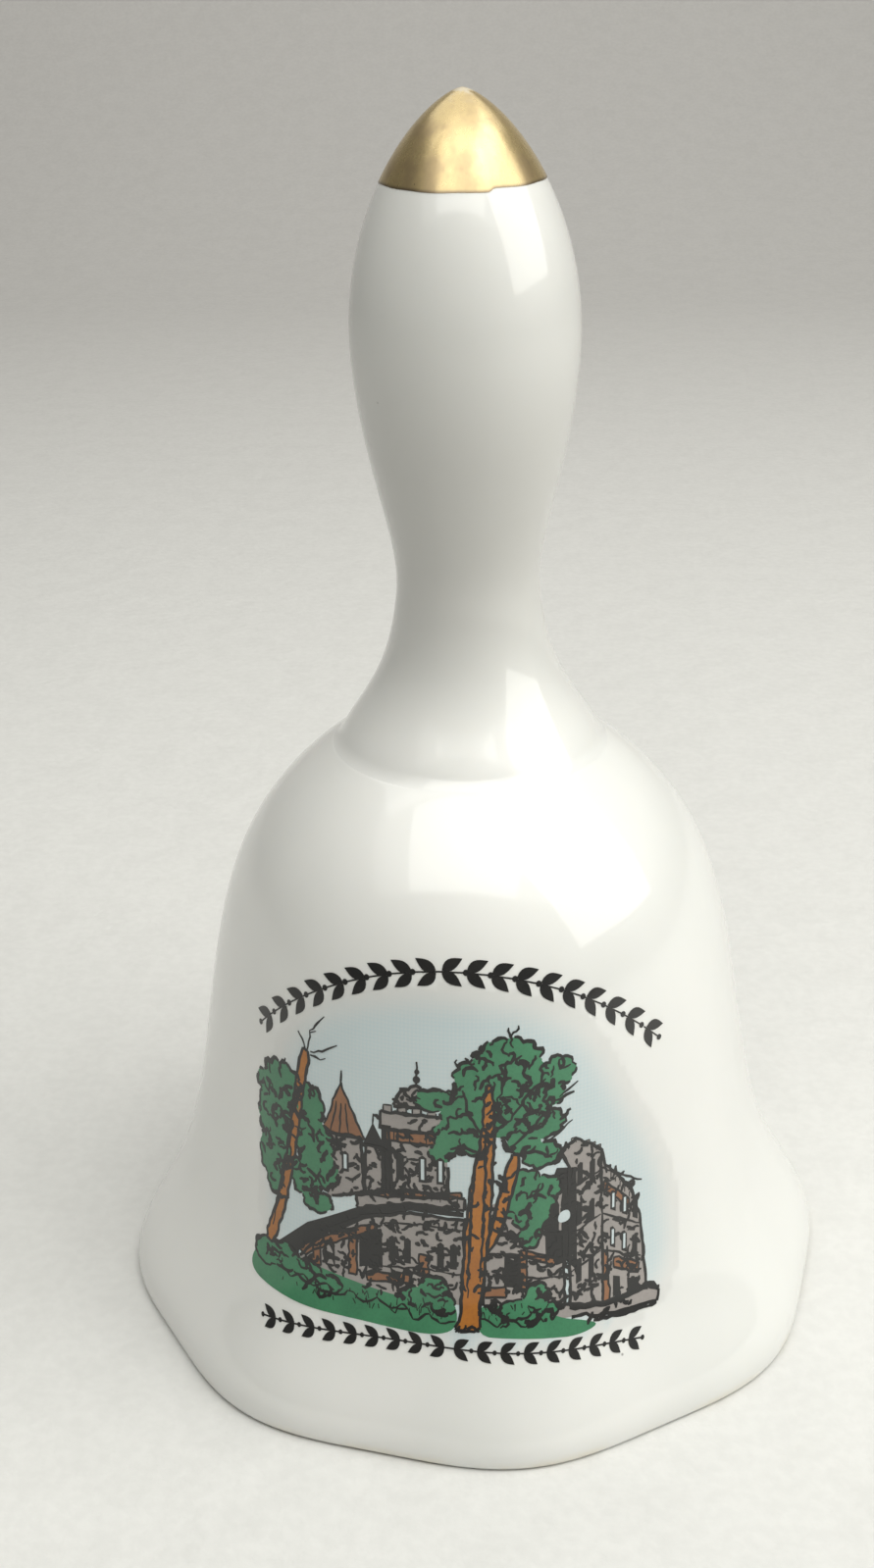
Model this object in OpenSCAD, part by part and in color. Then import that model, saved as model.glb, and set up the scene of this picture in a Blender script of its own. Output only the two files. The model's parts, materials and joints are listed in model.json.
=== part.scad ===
// Porcelain table bell with a hollow handle, a gilt tip, a printed picture and a wire-hung clapper.
// The bell stands on its rim: the origin is the centre of the rim plane, +Z is up, the picture faces -Y.

/* [Body] */
// Height of the body, from the rim to the seat of the handle
body_h = 63.4; // [56:0.2:78]
// Diameter of the rim, midway between a lobe and a valley
rim_d = 76.8; // [64:0.2:94]
// Height above the rim where the flare runs out into the wall
flare_h = 19; // [15:0.5:22]
// Diameter of the body where the flare runs out
flare_d = 62.2; // [54:0.2:70]
// Drop from the seat of the handle to the turn of the shoulder
shoulder_drop = 15.4; // [12:0.2:18]
// Diameter of the body at the turn of the shoulder
shoulder_d = 51; // [44:0.2:58]
// Diameter of the flat seat that the handle stands on
seat_d = 27.2; // [24:0.2:32]
// Thickness of the cast wall of the body
wall = 2.4; // [1.8:0.1:3]
// Width of the flat foot that the rim stands on
foot_w = 1; // [0.6:0.1:1.4]

/* [Lobes] */
// Number of soft lobes around the skirt
lobes = 8; // [5:1:12]
// How far a lobe stands out, and a valley goes in, at the rim
lobe_depth = 0.62; // [0.2:0.02:1.2]
// Turn of the nearest lobe from the front, towards +X
lobe_turn = 12.25; // [-22:0.25:22]

/* [Handle] */
// Rise from the seat to the waist of the handle
waist_rise = 17; // [13:0.5:21]
// Diameter of the waist
waist_d = 14.4; // [12:0.2:18]
// Rise from the waist to the belly
belly_rise = 24.5; // [19:0.5:30]
// Diameter of the belly
belly_d = 22.2; // [19:0.2:27]
// Rise from the belly to the tip
tip_rise = 22; // [17:0.5:27]
// Fullness of the tip: 0.5 is round, 1 comes to a point
tip_shape = 0.69; // [0.55:0.01:0.85]
// Thickness of the cast wall of the handle
handle_wall = 2.2; // [1.6:0.1:2.6]
// Solid porcelain left above the hollow at the tip
tip_cap = 6; // [5:0.5:8]

/* [Decoration] */
// Depth of the gold lustre, from the tip down to its lower edge
gilt_h = 8.2; // [5:0.2:14]
// Thickness of the lustre as drawn
gilt_t = 0.05; // [0.03:0.01:0.1]
// Height of the lower edge of the picture above the rim
print_z = 12.6; // [9:0.2:15]
// Height of the picture
print_h = 30; // [26:0.5:34]
// Width of the picture, along the curve of the wall
print_w = 44; // [34:0.5:50]
// Width of the two ornament borders
border_w = 2.4; // [1.6:0.1:3]
// How far the fired colours stand above the glaze, as drawn
ink_t = 0.1; // [0.08:0.01:0.16]
// How far the fired colours sink into the glaze
ink_sink = 0.15; // [0.1:0.01:0.2]

/* [Clapper] */
// Diameter of the hole in the crown
crown_hole_d = 8; // [6:0.2:10]
// Diameter of the wire of the staple
staple_wire_d = 1.2; // [1:0.1:1.4]
// Distance between the legs of the staple, centre to centre
staple_w = 5.6; // [5:0.1:6]
// Drop from the plug to the bar of the staple
staple_drop = 6; // [5:0.2:7]
// Diameter of the wire of the link and of the pin
clapper_wire_d = 1; // [0.8:0.1:1.2]
// Width of the link, centre to centre of its wire
link_w = 4; // [3.6:0.1:4.6]
// Length of the link, centre to centre of its wire
link_l = 7; // [6:0.2:9]
// Diameter of the eye of the pin, along the centre of its wire
eye_d = 3.8; // [3.4:0.1:4.4]
// Play between two wires that hang on each other
wire_play = 0.1; // [0.05:0.01:0.2]
// Diameter of the clapper bead
bead_d = 12.6; // [10:0.2:15]
// Height of the bead's centre above the rim
bead_z = 18; // [15:0.5:24]
// Diameter of the head that holds the bead on its pin
pin_head_d = 3; // [2.4:0.1:4]
// Thickness of that head
pin_head_t = 0.7; // [0.5:0.1:1]

/* [Hidden] */

// Facets: columns around the lobed shell, steps up a profile, and steps of a film
shell_cols = 72;
shell_rows = 22;
corner_steps = 3;
handle_rows = 28;
gilt_rows = 12;
film_cols = 24;
film_rows = 10;
round_fn = 96;
wire_fn = 32;

// Stations of the two outlines: [height, radius, slope, bend], slope and bend per mm of height
rim_st = [0, rim_d / 2, 0.26, -0.29];
flare_st = [flare_h, flare_d / 2, -0.25, 0.02];
shoulder_st = [body_h - shoulder_drop, shoulder_d / 2, -0.34, -0.03];
seat_st = [body_h, seat_d / 2, -1.38, -0.1];
base_st = [body_h, seat_d / 2, -0.47, -0.15];
waist_z = body_h + waist_rise;
belly_z = waist_z + belly_rise;
tip_z = belly_z + tip_rise;
waist_st = [waist_z, waist_d / 2, 0, 0.075];
belly_st = [belly_z, belly_d / 2, 0, -tip_shape * belly_d / pow(tip_rise, 2)];
body_sts = [rim_st, flare_st, shoulder_st, seat_st];
handle_sts = [base_st, waist_st, belly_st];

// Curve between two stations that keeps the slope and the bend at both ends
function joined(a, b, z) =
    let (l = b[0] - a[0], t = (z - a[0]) / l, t3 = pow(t, 3), t4 = pow(t, 4), t5 = pow(t, 5))
    a[1] * (1 - 10 * t3 + 15 * t4 - 6 * t5)
    + a[2] * l * (t - 6 * t3 + 8 * t4 - 3 * t5)
    + a[3] * l * l * (0.5 * t * t - 1.5 * t3 + 1.5 * t4 - 0.5 * t5)
    + b[1] * (10 * t3 - 15 * t4 + 6 * t5)
    + b[2] * l * (-4 * t3 + 7 * t4 - 3 * t5)
    + b[3] * l * l * (0.5 * t3 - t4 + 0.5 * t5);

// Outline through a list of stations
function outline(sts, z, i = 0) =
    i < len(sts) - 2 && z > sts[i + 1][0] ? outline(sts, z, i + 1) : joined(sts[i], sts[i + 1], z);

// Mean outer radius of the body, and outer radius of the handle, at a height
function body_r(z) = outline(body_sts, z);
function handle_r(z) =
    z > belly_z
        ? belly_d / 2 * pow(max(0, 1 - pow((z - belly_z) / tip_rise, 2)), tip_shape)
        : outline(handle_sts, z);

// Slope of each outline, and the unit normal [out, up] that goes with a slope
slope_step = 0.02;
function body_slope(z) = (body_r(z + slope_step) - body_r(z - slope_step)) / (2 * slope_step);
function handle_slope(z) = (handle_r(z + slope_step) - handle_r(z - slope_step)) / (2 * slope_step);
function normal(slope) = [1, -slope] / norm([1, -slope]);

// The lobes fade out from the rim to the seat
lobe_fade = 1.5;
function lobe_amp(z) = lobe_depth * pow(max(0, 1 - z / body_h), lobe_fade);
function lobe_wave(angle) = cos(lobes * (angle + 90 - lobe_turn));

// Shell section, from the inner edge of the foot round the outside and back down the inside:
// each point is [radius, height, lobe depth]
foot_r = (wall - foot_w) / 2;
foot_mid = body_r(foot_r) - wall / 2;
ceiling_z = body_h - wall * normal(body_slope(body_h - slope_step))[1];
function row_z(i, n, low) = low + (body_h - low) * i / n;
outer_corner = [
    for (i = [0 : corner_steps - 1])
        let (a = -90 + 90 * i / corner_steps)
        [foot_mid + foot_w / 2 + foot_r * cos(a), foot_r + foot_r * sin(a), lobe_amp(0)]
];
outer_wall = [
    for (i = [0 : shell_rows])
        let (z = row_z(i, shell_rows, foot_r))
        [body_r(z), z, lobe_amp(z)]
];
inner_wall = [
    for (i = [shell_rows : -1 : 1])
        let (z = row_z(i, shell_rows, foot_r), n = normal(body_slope(min(z, body_h - slope_step))))
        [body_r(z) - wall * n[0], z - wall * n[1], lobe_amp(z)]
];
inner_corner = [
    for (i = [0 : corner_steps])
        let (a = 180 + 90 * i / corner_steps)
        [foot_mid - foot_w / 2 + foot_r * cos(a), foot_r + foot_r * sin(a), lobe_amp(0)]
];
crown_edge = [[crown_hole_d / 2, body_h, 0], [crown_hole_d / 2, ceiling_z, 0]];
shell_section = concat(outer_corner, outer_wall, crown_edge, inner_wall, inner_corner);

// A ring-shaped solid: the section goes round the axis, each point riding on the lobes
module lobed_ring(section, cols) {
    n = len(section);
    points = [
        for (c = [0 : cols - 1], p = section)
            let (a = lobe_turn - 90 + 360 * c / cols, r = p[0] + p[2] * lobe_wave(a))
            [r * cos(a), r * sin(a), p[1]]
    ];
    faces = [
        for (c = [0 : cols - 1], i = [0 : n - 1])
            let (a = c * n + i, b = c * n + (i + 1) % n, d = (c + 1) % cols * n)
            each [[a, b, d + (i + 1) % n], [a, d + (i + 1) % n, d + i]]
    ];
    polyhedron(points, faces);
}

// A point of the lobed wall, moved out along its normal; side is the distance round the wall from the front
function wall_point(side, z, out) =
    let (a = -90 + side / body_r(z) * 180 / PI,
         n = normal(body_slope(z)),
         r = body_r(z) + lobe_amp(z) * lobe_wave(a) + out * n[0])
    [r * cos(a), r * sin(a), z + out * n[1]];

// A film of fired colour on the wall: marks is a grid of [side, height] points, rows upwards
module film(marks) {
    rows = len(marks);
    cols = len(marks[0]);
    total = rows * cols;
    edge = concat(
        [for (c = [0 : cols - 1]) c],
        [for (r = [1 : rows - 1]) r * cols + cols - 1],
        [for (c = [cols - 2 : -1 : 0]) (rows - 1) * cols + c],
        [for (r = [rows - 2 : -1 : 1]) r * cols]
    );
    points = concat(
        [for (row = marks, m = row) wall_point(m[0], m[1], ink_t)],
        [for (row = marks, m = row) wall_point(m[0], m[1], -ink_sink)]
    );
    quads = [for (r = [0 : rows - 2], c = [0 : cols - 2]) r * cols + c];
    faces = concat(
        [for (q = quads) each [[q, q + cols, q + cols + 1], [q, q + cols + 1, q + 1]]],
        [for (q = quads) each [[q + total, q + total + cols + 1, q + total + cols],
                               [q + total, q + total + 1, q + total + cols + 1]]],
        [for (i = [0 : len(edge) - 1])
            let (a = edge[i], b = edge[(i + 1) % len(edge)])
            each [[a, b, b + total], [a, b + total, a + total]]]
    );
    polyhedron(points, faces);
}

// Straight round bar of wire along Z, centred
module wire_bar(d, length) {
    cylinder(d = d, h = length, center = true, $fn = wire_fn);
}

// Quarter bend of wire in the XZ plane, from +X towards +Z, about the bend's centre
module wire_bend(d, bend_r) {
    rotate([90, 0, 0])
        rotate_extrude(angle = 90, $fn = wire_fn)
            translate([bend_r, 0])
                circle(d = d, $fn = wire_fn);
}

// Body: a slip-cast shell, open below, with a hole in its crown
module bell_body() {
    color("ghostwhite")
        lobed_ring(shell_section, shell_cols);
}

// Handle: cast hollow, closed at its tip, standing on the seat of the body
hollow_top = tip_z - tip_cap;
function hollow_r(z) =
    let (s = handle_slope(max(z, body_h + slope_step)))
    handle_r(z) - handle_wall * norm([1, s]);
gilt_z = tip_z - gilt_h;
gilt_heights = [for (i = [0 : gilt_rows]) gilt_z + gilt_h * sin(90 * i / gilt_rows)];
handle_outside = concat(
    [for (i = [0 : handle_rows - 1]) let (z = body_h + (gilt_z - body_h) * i / handle_rows) [handle_r(z), z]],
    [for (z = gilt_heights) [handle_r(z), z]]
);
handle_inside = concat(
    [[0, hollow_top]],
    [
        for (i = [handle_rows : -1 : 0])
            let (z = body_h + (hollow_top - body_h) * i / handle_rows)
            [hollow_r(z), z]
    ]
);
module handle() {
    color("white")
        rotate_extrude($fn = round_fn)
            polygon(concat(handle_outside, handle_inside));
}

// Gold lustre over the tip
module gilt_tip() {
    under = [for (z = gilt_heights) [handle_r(z), z]];
    over = [
        for (i = [gilt_rows - 1 : -1 : 0])
            let (z = gilt_heights[i])
            [handle_r(z), z] + gilt_t * normal(handle_slope(z))
    ];
    color("goldenrod")
        rotate_extrude($fn = round_fn)
            polygon(concat(under, [[0, tip_z + gilt_t]], over));
}

// Sky: the pale tint behind the upper part of the picture, with an arched top
sky_share = 0.55;
sky_over = 2.2;
sky_arch = 0.85;
sky_z = print_z + print_h * sky_share;
sky_top = print_z + print_h + sky_over;
module sky_tint() {
    marks = [
        for (r = [0 : film_rows])
            let (t = r / film_rows,
                 z = sky_z + (sky_top - sky_z) * t,
                 half = print_w / 2 * sqrt(1 - sky_arch * t * t))
            [for (c = [0 : film_cols]) [half * (2 * c / film_cols - 1), z]]
    ];
    color("lightblue")
        film(marks);
}

// Picture: the castle, trees and lawn, as one panel with rounded lower corners
film_gap = 0.2;
bottom_share = 0.8;
module picture_print() {
    marks = [
        for (r = [0 : film_rows])
            let (t = r / film_rows,
                 z = print_z + (sky_z - film_gap - print_z) * t,
                 half = print_w / 2 * (bottom_share + (1 - bottom_share) * sqrt(1 - pow(1 - t, 2))))
            [for (c = [0 : film_cols]) [half * (2 * c / film_cols - 1), z]]
    ];
    color("seagreen")
        film(marks);
}

// A border: a band with arched edges, its middle a given rise above its ends
module border(half, end_z, rise) {
    marks = [
        for (r = [0 : 1])
            [for (c = [0 : film_cols])
                let (t = 2 * c / film_cols - 1)
                [half * t, end_z + rise * (1 - t * t) + border_w * r]]
    ];
    color("black")
        film(marks);
}

arch_gap = 3.1;
arch_rise = 10.2;
module upper_border() {
    border(print_w / 2, sky_top + arch_gap - arch_rise, arch_rise);
}

foot_gap = 0.4;
foot_rise = 1.2;
foot_inset = 1;
module lower_border() {
    border(print_w / 2 - foot_inset, print_z - foot_gap - foot_rise - border_w, foot_rise);
}

// Plug: plaster set in the hole of the crown, with a flange under the ceiling
plug_play = 0.05;
plug_lip = 2;
plug_flange_d = crown_hole_d + 2 * plug_lip;
plug_flange_t = 1.6;
plug_stem_h = 1.5;
plug_z = ceiling_z - plug_flange_t;
plug_top = body_h + plug_stem_h;
bore_over = 1;
module crown_plug() {
    color("gainsboro")
        difference() {
            union() {
                translate([0, 0, plug_z])
                    cylinder(d = plug_flange_d, h = plug_flange_t, $fn = round_fn);
                translate([0, 0, plug_z])
                    cylinder(d = crown_hole_d - 2 * plug_play, h = plug_top - plug_z, $fn = round_fn);
            }
            for (side = [-1, 1])
                translate([side * staple_w / 2, 0, plug_z - bore_over])
                    cylinder(d = staple_wire_d, h = plug_top - plug_z + 2 * bore_over, $fn = wire_fn);
        }
}

// Staple: two legs in the plug and a straight bar below, with round bends between
staple_bend = staple_wire_d;
bar_z = plug_z - staple_drop;
module hanger_staple() {
    leg = plug_top - bar_z - staple_bend;
    color("silver") {
        translate([0, 0, bar_z])
            rotate([0, 90, 0])
                wire_bar(staple_wire_d, staple_w - 2 * staple_bend);
        for (turn = [0, 180])
            rotate([0, 0, turn]) {
                translate([staple_w / 2 - staple_bend, 0, bar_z + staple_bend])
                    rotate([0, 90, 0])
                        wire_bend(staple_wire_d, staple_bend);
                translate([staple_w / 2, 0, bar_z + staple_bend + leg / 2])
                    wire_bar(staple_wire_d, leg);
            }
    }
}

// Link: a closed loop of wire in the YZ plane, hung over the bar of the staple
link_bend = clapper_wire_d;
link_top = bar_z + staple_wire_d / 2 + wire_play + clapper_wire_d / 2;
link_bottom = link_top - link_l;
module clapper_link() {
    color("silver")
        translate([0, 0, (link_top + link_bottom) / 2])
            rotate([0, 0, 90])
                for (flip = [0, 180])
                    rotate([0, flip, 0]) {
                        translate([0, 0, link_l / 2])
                            rotate([0, 90, 0])
                                wire_bar(clapper_wire_d, link_w - 2 * link_bend);
                        translate([link_w / 2, 0, 0])
                            wire_bar(clapper_wire_d, link_l - 2 * link_bend);
                        for (turn = [0, 180])
                            rotate([0, 0, turn])
                                translate([link_w / 2 - link_bend, 0, link_l / 2 - link_bend])
                                    wire_bend(clapper_wire_d, link_bend);
                    }
}

// Pin: an eye on the link's lower bar, a straight shank and a flat head under the bead
eye_z = link_bottom + clapper_wire_d + wire_play - eye_d / 2;
bead_flat = 0.35;
pin_head_z = bead_z - bead_d / 2 + bead_flat;
module clapper_pin() {
    color("silver") {
        translate([0, 0, eye_z])
            rotate([90, 0, 0])
                rotate_extrude($fn = wire_fn)
                    translate([eye_d / 2, 0])
                        circle(d = clapper_wire_d, $fn = wire_fn);
        translate([0, 0, pin_head_z])
            cylinder(d = clapper_wire_d, h = eye_z - eye_d / 2 - pin_head_z, $fn = wire_fn);
        translate([0, 0, pin_head_z - pin_head_t])
            cylinder(d = pin_head_d, h = pin_head_t, $fn = round_fn);
    }
}

// Bead: a ball of glazed porcelain with a flat at each end of its hole
bead_play = 0.05;
module clapper_bead() {
    hole = clapper_wire_d / 2 + bead_play;
    color("white")
        translate([0, 0, bead_z])
            rotate_extrude($fn = round_fn)
                intersection() {
                    circle(d = bead_d, $fn = round_fn);
                    translate([hole, -bead_d / 2 + bead_flat])
                        square([bead_d, bead_d - 2 * bead_flat]);
                }
}

bell_body();
handle();
gilt_tip();
sky_tint();
picture_print();
upper_border();
lower_border();
crown_plug();
hanger_staple();
clapper_link();
clapper_pin();
clapper_bead();
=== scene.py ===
"""Porcelain table bell with a gilt tip, a fired transfer picture and a wire-hung clapper.

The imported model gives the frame. This script makes the glazed shell, the handle, the gold lustre, the
printed picture and the clapper's pieces around it, in metres, and lights them on a plain pale floor.
"""
import json
import logging
import math
import random
from dataclasses import dataclass, field
from enum import Enum
from typing import Callable, Iterable, Sequence

import bmesh
import bpy
from mathutils import Matrix, Vector

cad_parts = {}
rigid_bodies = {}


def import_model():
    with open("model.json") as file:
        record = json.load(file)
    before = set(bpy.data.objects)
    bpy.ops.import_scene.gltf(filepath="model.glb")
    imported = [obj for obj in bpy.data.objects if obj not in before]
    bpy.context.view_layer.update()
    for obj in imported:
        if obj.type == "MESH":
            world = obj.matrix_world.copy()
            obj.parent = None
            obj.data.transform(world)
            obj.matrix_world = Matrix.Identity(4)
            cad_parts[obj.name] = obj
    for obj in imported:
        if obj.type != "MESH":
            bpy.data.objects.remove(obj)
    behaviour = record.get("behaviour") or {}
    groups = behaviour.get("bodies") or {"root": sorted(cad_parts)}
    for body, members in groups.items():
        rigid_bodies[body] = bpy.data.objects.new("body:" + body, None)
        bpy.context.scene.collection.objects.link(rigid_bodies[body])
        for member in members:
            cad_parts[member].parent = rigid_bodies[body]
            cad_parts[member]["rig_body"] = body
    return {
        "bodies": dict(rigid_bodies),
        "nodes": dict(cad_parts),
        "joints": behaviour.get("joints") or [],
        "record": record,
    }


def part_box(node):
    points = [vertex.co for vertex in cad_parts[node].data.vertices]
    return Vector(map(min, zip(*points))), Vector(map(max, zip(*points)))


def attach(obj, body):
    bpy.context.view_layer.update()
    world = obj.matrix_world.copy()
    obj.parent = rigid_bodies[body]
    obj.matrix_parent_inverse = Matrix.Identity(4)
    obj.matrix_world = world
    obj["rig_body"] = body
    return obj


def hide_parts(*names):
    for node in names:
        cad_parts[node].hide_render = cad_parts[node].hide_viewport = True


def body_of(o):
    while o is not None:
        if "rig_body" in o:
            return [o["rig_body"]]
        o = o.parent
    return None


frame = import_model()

LOG = logging.getLogger("bell")
MM = 0.001
FILM_SHARP = 50.0  # Edges of films and wire sharper than this stay sharp, in degrees.
WELD = 1e-7  # Points closer than this, in metres, are one.
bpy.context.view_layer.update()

Point = tuple[float, float]
Colour = tuple[float, float, float]


# ---- Shader building ----

class Value:
    """A number that varies over a surface: one output socket, with arithmetic that adds Math nodes."""

    def __init__(self, shader: "Shader", socket: bpy.types.NodeSocket) -> None:
        """Wraps a socket.

        Args:
            shader: The shader that the socket belongs to.
            socket: The output socket.
        """
        self.shader = shader
        self.socket = socket

    def _maths(self, operation: str, *terms: "Value | float") -> "Value":
        """Adds one Math node.

        Args:
            operation: The node's operation.
            terms: Its inputs, in order.

        Returns:
            The node's result.
        """
        node = self.shader.node("ShaderNodeMath", {"operation": operation}, dict(enumerate(terms)))
        return Value(self.shader, node.outputs[0])

    def __add__(self, other: "Value | float") -> "Value":
        """Sum."""
        return self._maths("ADD", self, other)

    def __sub__(self, other: "Value | float") -> "Value":
        """Difference."""
        return self._maths("SUBTRACT", self, other)

    def __mul__(self, other: "Value | float") -> "Value":
        """Product."""
        return self._maths("MULTIPLY", self, other)

    def __lt__(self, other: "Value | float") -> "Value":
        """1 where this is less, 0 elsewhere."""
        return self._maths("LESS_THAN", self, other)

    def __rsub__(self, other: float) -> "Value":
        """Number minus this."""
        return self._maths("SUBTRACT", other, self)

    def wave(self) -> "Value":
        """Sine of this angle in radians."""
        return self._maths("SINE", self)

    def ramp(self, low: float, high: float) -> "Value":
        """Smooth step from 0 at low to 1 at high.

        Args:
            low: The value that becomes 0.
            high: The value that becomes 1.

        Returns:
            The stepped value.
        """
        settings = {"interpolation_type": "SMOOTHSTEP", "clamp": True}
        node = self.shader.node("ShaderNodeMapRange", settings, {0: self, 1: low, 2: high, 3: 0.0, 4: 1.0})
        return Value(self.shader, node.outputs[0])


class Shader:
    """One material under construction, with a Principled surface."""

    def __init__(self, name: str) -> None:
        """Starts an empty node material.

        Args:
            name: The material's name.
        """
        self.material = bpy.data.materials.new(name)
        self.material.use_nodes = True
        self.tree = self.material.node_tree
        self.tree.nodes.clear()
        self.place = self.node("ShaderNodeTexCoord", {}, {}).outputs["Object"]

    def node(self, kind: str, settings: dict, inputs: dict) -> bpy.types.Node:
        """Adds a node.

        Args:
            kind: The node's type.
            settings: Properties to set first, such as a Math node's operation.
            inputs: Values or links by input name or number.

        Returns:
            The new node.
        """
        node = self.tree.nodes.new(kind)
        for key, value in settings.items():
            setattr(node, key, value)
        for key, value in inputs.items():
            source = value.socket if isinstance(value, Value) else value
            if isinstance(source, bpy.types.NodeSocket):
                self.tree.links.new(source, node.inputs[key])
            else:
                node.inputs[key].default_value = source
        return node

    def noise(self, size: float, detail: float = 2.0, stretch: Sequence[float] = (1, 1, 1)) -> Value:
        """Soft noise between 0 and 1.

        Args:
            size: The size of its features, in mm.
            detail: The octaves of finer noise.
            stretch: How much longer the features are along X, Y and Z.

        Returns:
            The noise.
        """
        scale = tuple(1.0 / part for part in stretch)
        placed = {"Vector": self.place, "Scale": scale}
        mapped = self.node("ShaderNodeMapping", {"vector_type": "POINT"}, placed)
        inputs = {"Vector": mapped.outputs[0], "Scale": 1.0 / (size * MM), "Detail": detail}
        return Value(self, self.node("ShaderNodeTexNoise", {}, inputs).outputs[0])

    def specks(self, spacing: float, radius: float, share: float) -> Value:
        """Small round specks, far apart.

        Args:
            spacing: The mean distance between possible specks, in mm.
            radius: The radius of a speck, in mm.
            share: The share of the places that hold one.

        Returns:
            1 inside a speck, 0 outside.
        """
        inputs = {"Vector": self.place, "Scale": 1.0 / (spacing * MM)}
        cells = self.node("ShaderNodeTexVoronoi", {"feature": "F1"}, inputs)
        lot = self.node("ShaderNodeSeparateColor", {}, {0: cells.outputs["Color"]})
        near = 1 - Value(self, cells.outputs["Distance"]).ramp(0.4 * radius / spacing, radius / spacing)
        return near * (Value(self, lot.outputs[0]) < share)

    def height(self) -> Value:
        """Height above the rim plane, in mm."""
        parts = self.node("ShaderNodeSeparateXYZ", {}, {0: self.place})
        return Value(self, parts.outputs[2]) * (1 / MM)

    def attribute(self, name: str) -> Value:
        """A number stored on the piece's own vertices."""
        return Value(self, self.node("ShaderNodeAttribute", {"attribute_name": name}, {}).outputs["Fac"])

    def blend(self, share: Value, first: object, second: object) -> bpy.types.NodeSocket:
        """Mixes two colours.

        Args:
            share: 0 for the first, 1 for the second.
            first: A colour or a colour socket.
            second: A colour or a colour socket.

        Returns:
            The mixed colour's socket.
        """
        colours = [
            part if isinstance(part, bpy.types.NodeSocket) else (*part, 1.0)
            for part in (first, second)
        ]
        node = self.node("ShaderNodeMix", {"data_type": "RGBA"}, {0: share, 6: colours[0], 7: colours[1]})
        return node.outputs[2]

    def bump(self, height: Value, depth: float, strength: float = 1.0) -> bpy.types.NodeSocket:
        """Turns a height into a normal.

        Args:
            height: The height, from 0 to 1.
            depth: The depth that 1 stands for, in mm.
            strength: How much of it shows.

        Returns:
            The normal's socket.
        """
        inputs = {"Height": height, "Distance": depth * MM, "Strength": strength}
        return self.node("ShaderNodeBump", {}, inputs).outputs[0]

    def finish(self, **inputs: object) -> bpy.types.Material:
        """Closes the material with a Principled surface.

        Args:
            inputs: The surface's inputs by name, with underscores for spaces.

        Returns:
            The material.
        """
        named = {key.replace("_", " "): value for key, value in inputs.items()}
        for key, value in named.items():
            if isinstance(value, tuple) and len(value) == 3 and "Radius" not in key:
                named[key] = (*value, 1.0)
        surface = self.node("ShaderNodeBsdfPrincipled", {}, named)
        self.node("ShaderNodeOutputMaterial", {}, {0: surface.outputs[0]})
        return self.material


# ---- Finishes ----

@dataclass(frozen=True)
class GlazedPorcelain:
    """White porcelain under a clear glaze, with a few pinholes, a warmer, thinner glaze at the rim and, on
    the handle, painted shade up its narrow middle.
    """

    name: str
    white: Colour = (0.84, 0.84, 0.815)
    shade: Colour = (0.80, 0.805, 0.78)
    rim: Colour = (0.76, 0.70, 0.56)
    pinhole: Colour = (0.10, 0.09, 0.08)
    tint: Colour | None = None
    painted_waist_shade: Colour | None = None
    rim_height: float = 1.6

    def build(self) -> bpy.types.Material:
        """Makes the material.

        Returns:
            The material.
        """
        shader = Shader(self.name)
        body = shader.blend(shader.noise(22, 3).ramp(0.3, 0.7), self.white, self.shade)
        if self.painted_waist_shade:
            # Painted shade: the colour darkens from 64 to 84 mm up the handle and eases off above 92 mm.
            up = shader.height()
            body = shader.blend(up.ramp(64, 84) * (1 - up.ramp(92, 112) * 0.7), body, self.painted_waist_shade)
        if self.tint:
            screen = shader.attribute("screen_a").wave() * shader.attribute("screen_b").wave()
            body = shader.blend(shader.attribute("tint") * (screen * 0.16 + 0.84), body, self.tint)
        worn = (1 - shader.height().ramp(0.2, self.rim_height)) * shader.noise(7, 3).ramp(0.36, 0.7) * 0.75
        body = shader.blend(worn, body, self.rim)
        body = shader.blend(shader.specks(8.5, 0.24, 0.13) * 0.75, body, self.pinhole)
        waves = shader.noise(16, 1) * 0.85 + shader.noise(1.7, 2) * 0.05
        pits = shader.specks(3.1, 0.16, 0.12)
        return shader.finish(
            Base_Color=body,
            Roughness=shader.noise(9, 2) * 0.12 + 0.30,
            Normal=shader.bump(waves - pits * 0.03, 0.22, 0.5),
            Subsurface_Weight=0.12,
            Subsurface_Radius=(1.0, 0.9, 0.75),
            Subsurface_Scale=1.6 * MM,
            Coat_Weight=0.9,
            Coat_Roughness=0.065,
            Coat_IOR=1.52,
        )


@dataclass(frozen=True)
class GoldLustre:
    """Fired liquid gold, brushed on by hand: bright, a little streaked, rubbed thin at the very tip."""

    name: str = "gold_lustre"
    gold: Colour = (0.60, 0.465, 0.235)
    brown: Colour = (0.37, 0.27, 0.16)
    bare: Colour = (0.58, 0.53, 0.43)
    burnt: Colour = (0.10, 0.075, 0.06)

    def build(self) -> bpy.types.Material:
        """Makes the material.

        Returns:
            The material.
        """
        shader = Shader(self.name)
        clouds = shader.noise(2.6, 5, (1, 1, 1.5))
        streaks = shader.noise(0.45, 3, (1, 1, 7))
        up = shader.attribute("from_edge")
        edge = (1 - up.ramp(0.0, 0.05)) * 0.65
        rubbed = up.ramp(0.84, 0.99) * shader.noise(1.1, 3).ramp(0.46, 0.64)
        scratches = shader.specks(1.7, 0.12, 0.2)
        thin = clouds.ramp(0.44, 0.70) * 0.6 + streaks.ramp(0.5, 0.8) * 0.25
        colour = shader.blend(rubbed * 0.8, shader.blend(thin, self.gold, self.brown), self.bare)
        colour = shader.blend((edge + scratches * 0.6).ramp(0, 1), colour, self.burnt)
        return shader.finish(
            Base_Color=colour,
            Metallic=0.70 - rubbed * 0.45,
            Roughness=clouds * 0.20 + streaks * 0.08 + rubbed * 0.2 + 0.14,
            Normal=shader.bump(clouds * 0.6 + streaks * 0.3 - scratches * 0.4, 0.045, 0.6),
            Coat_Weight=0.2,
            Coat_Roughness=0.15,
        )


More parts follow.
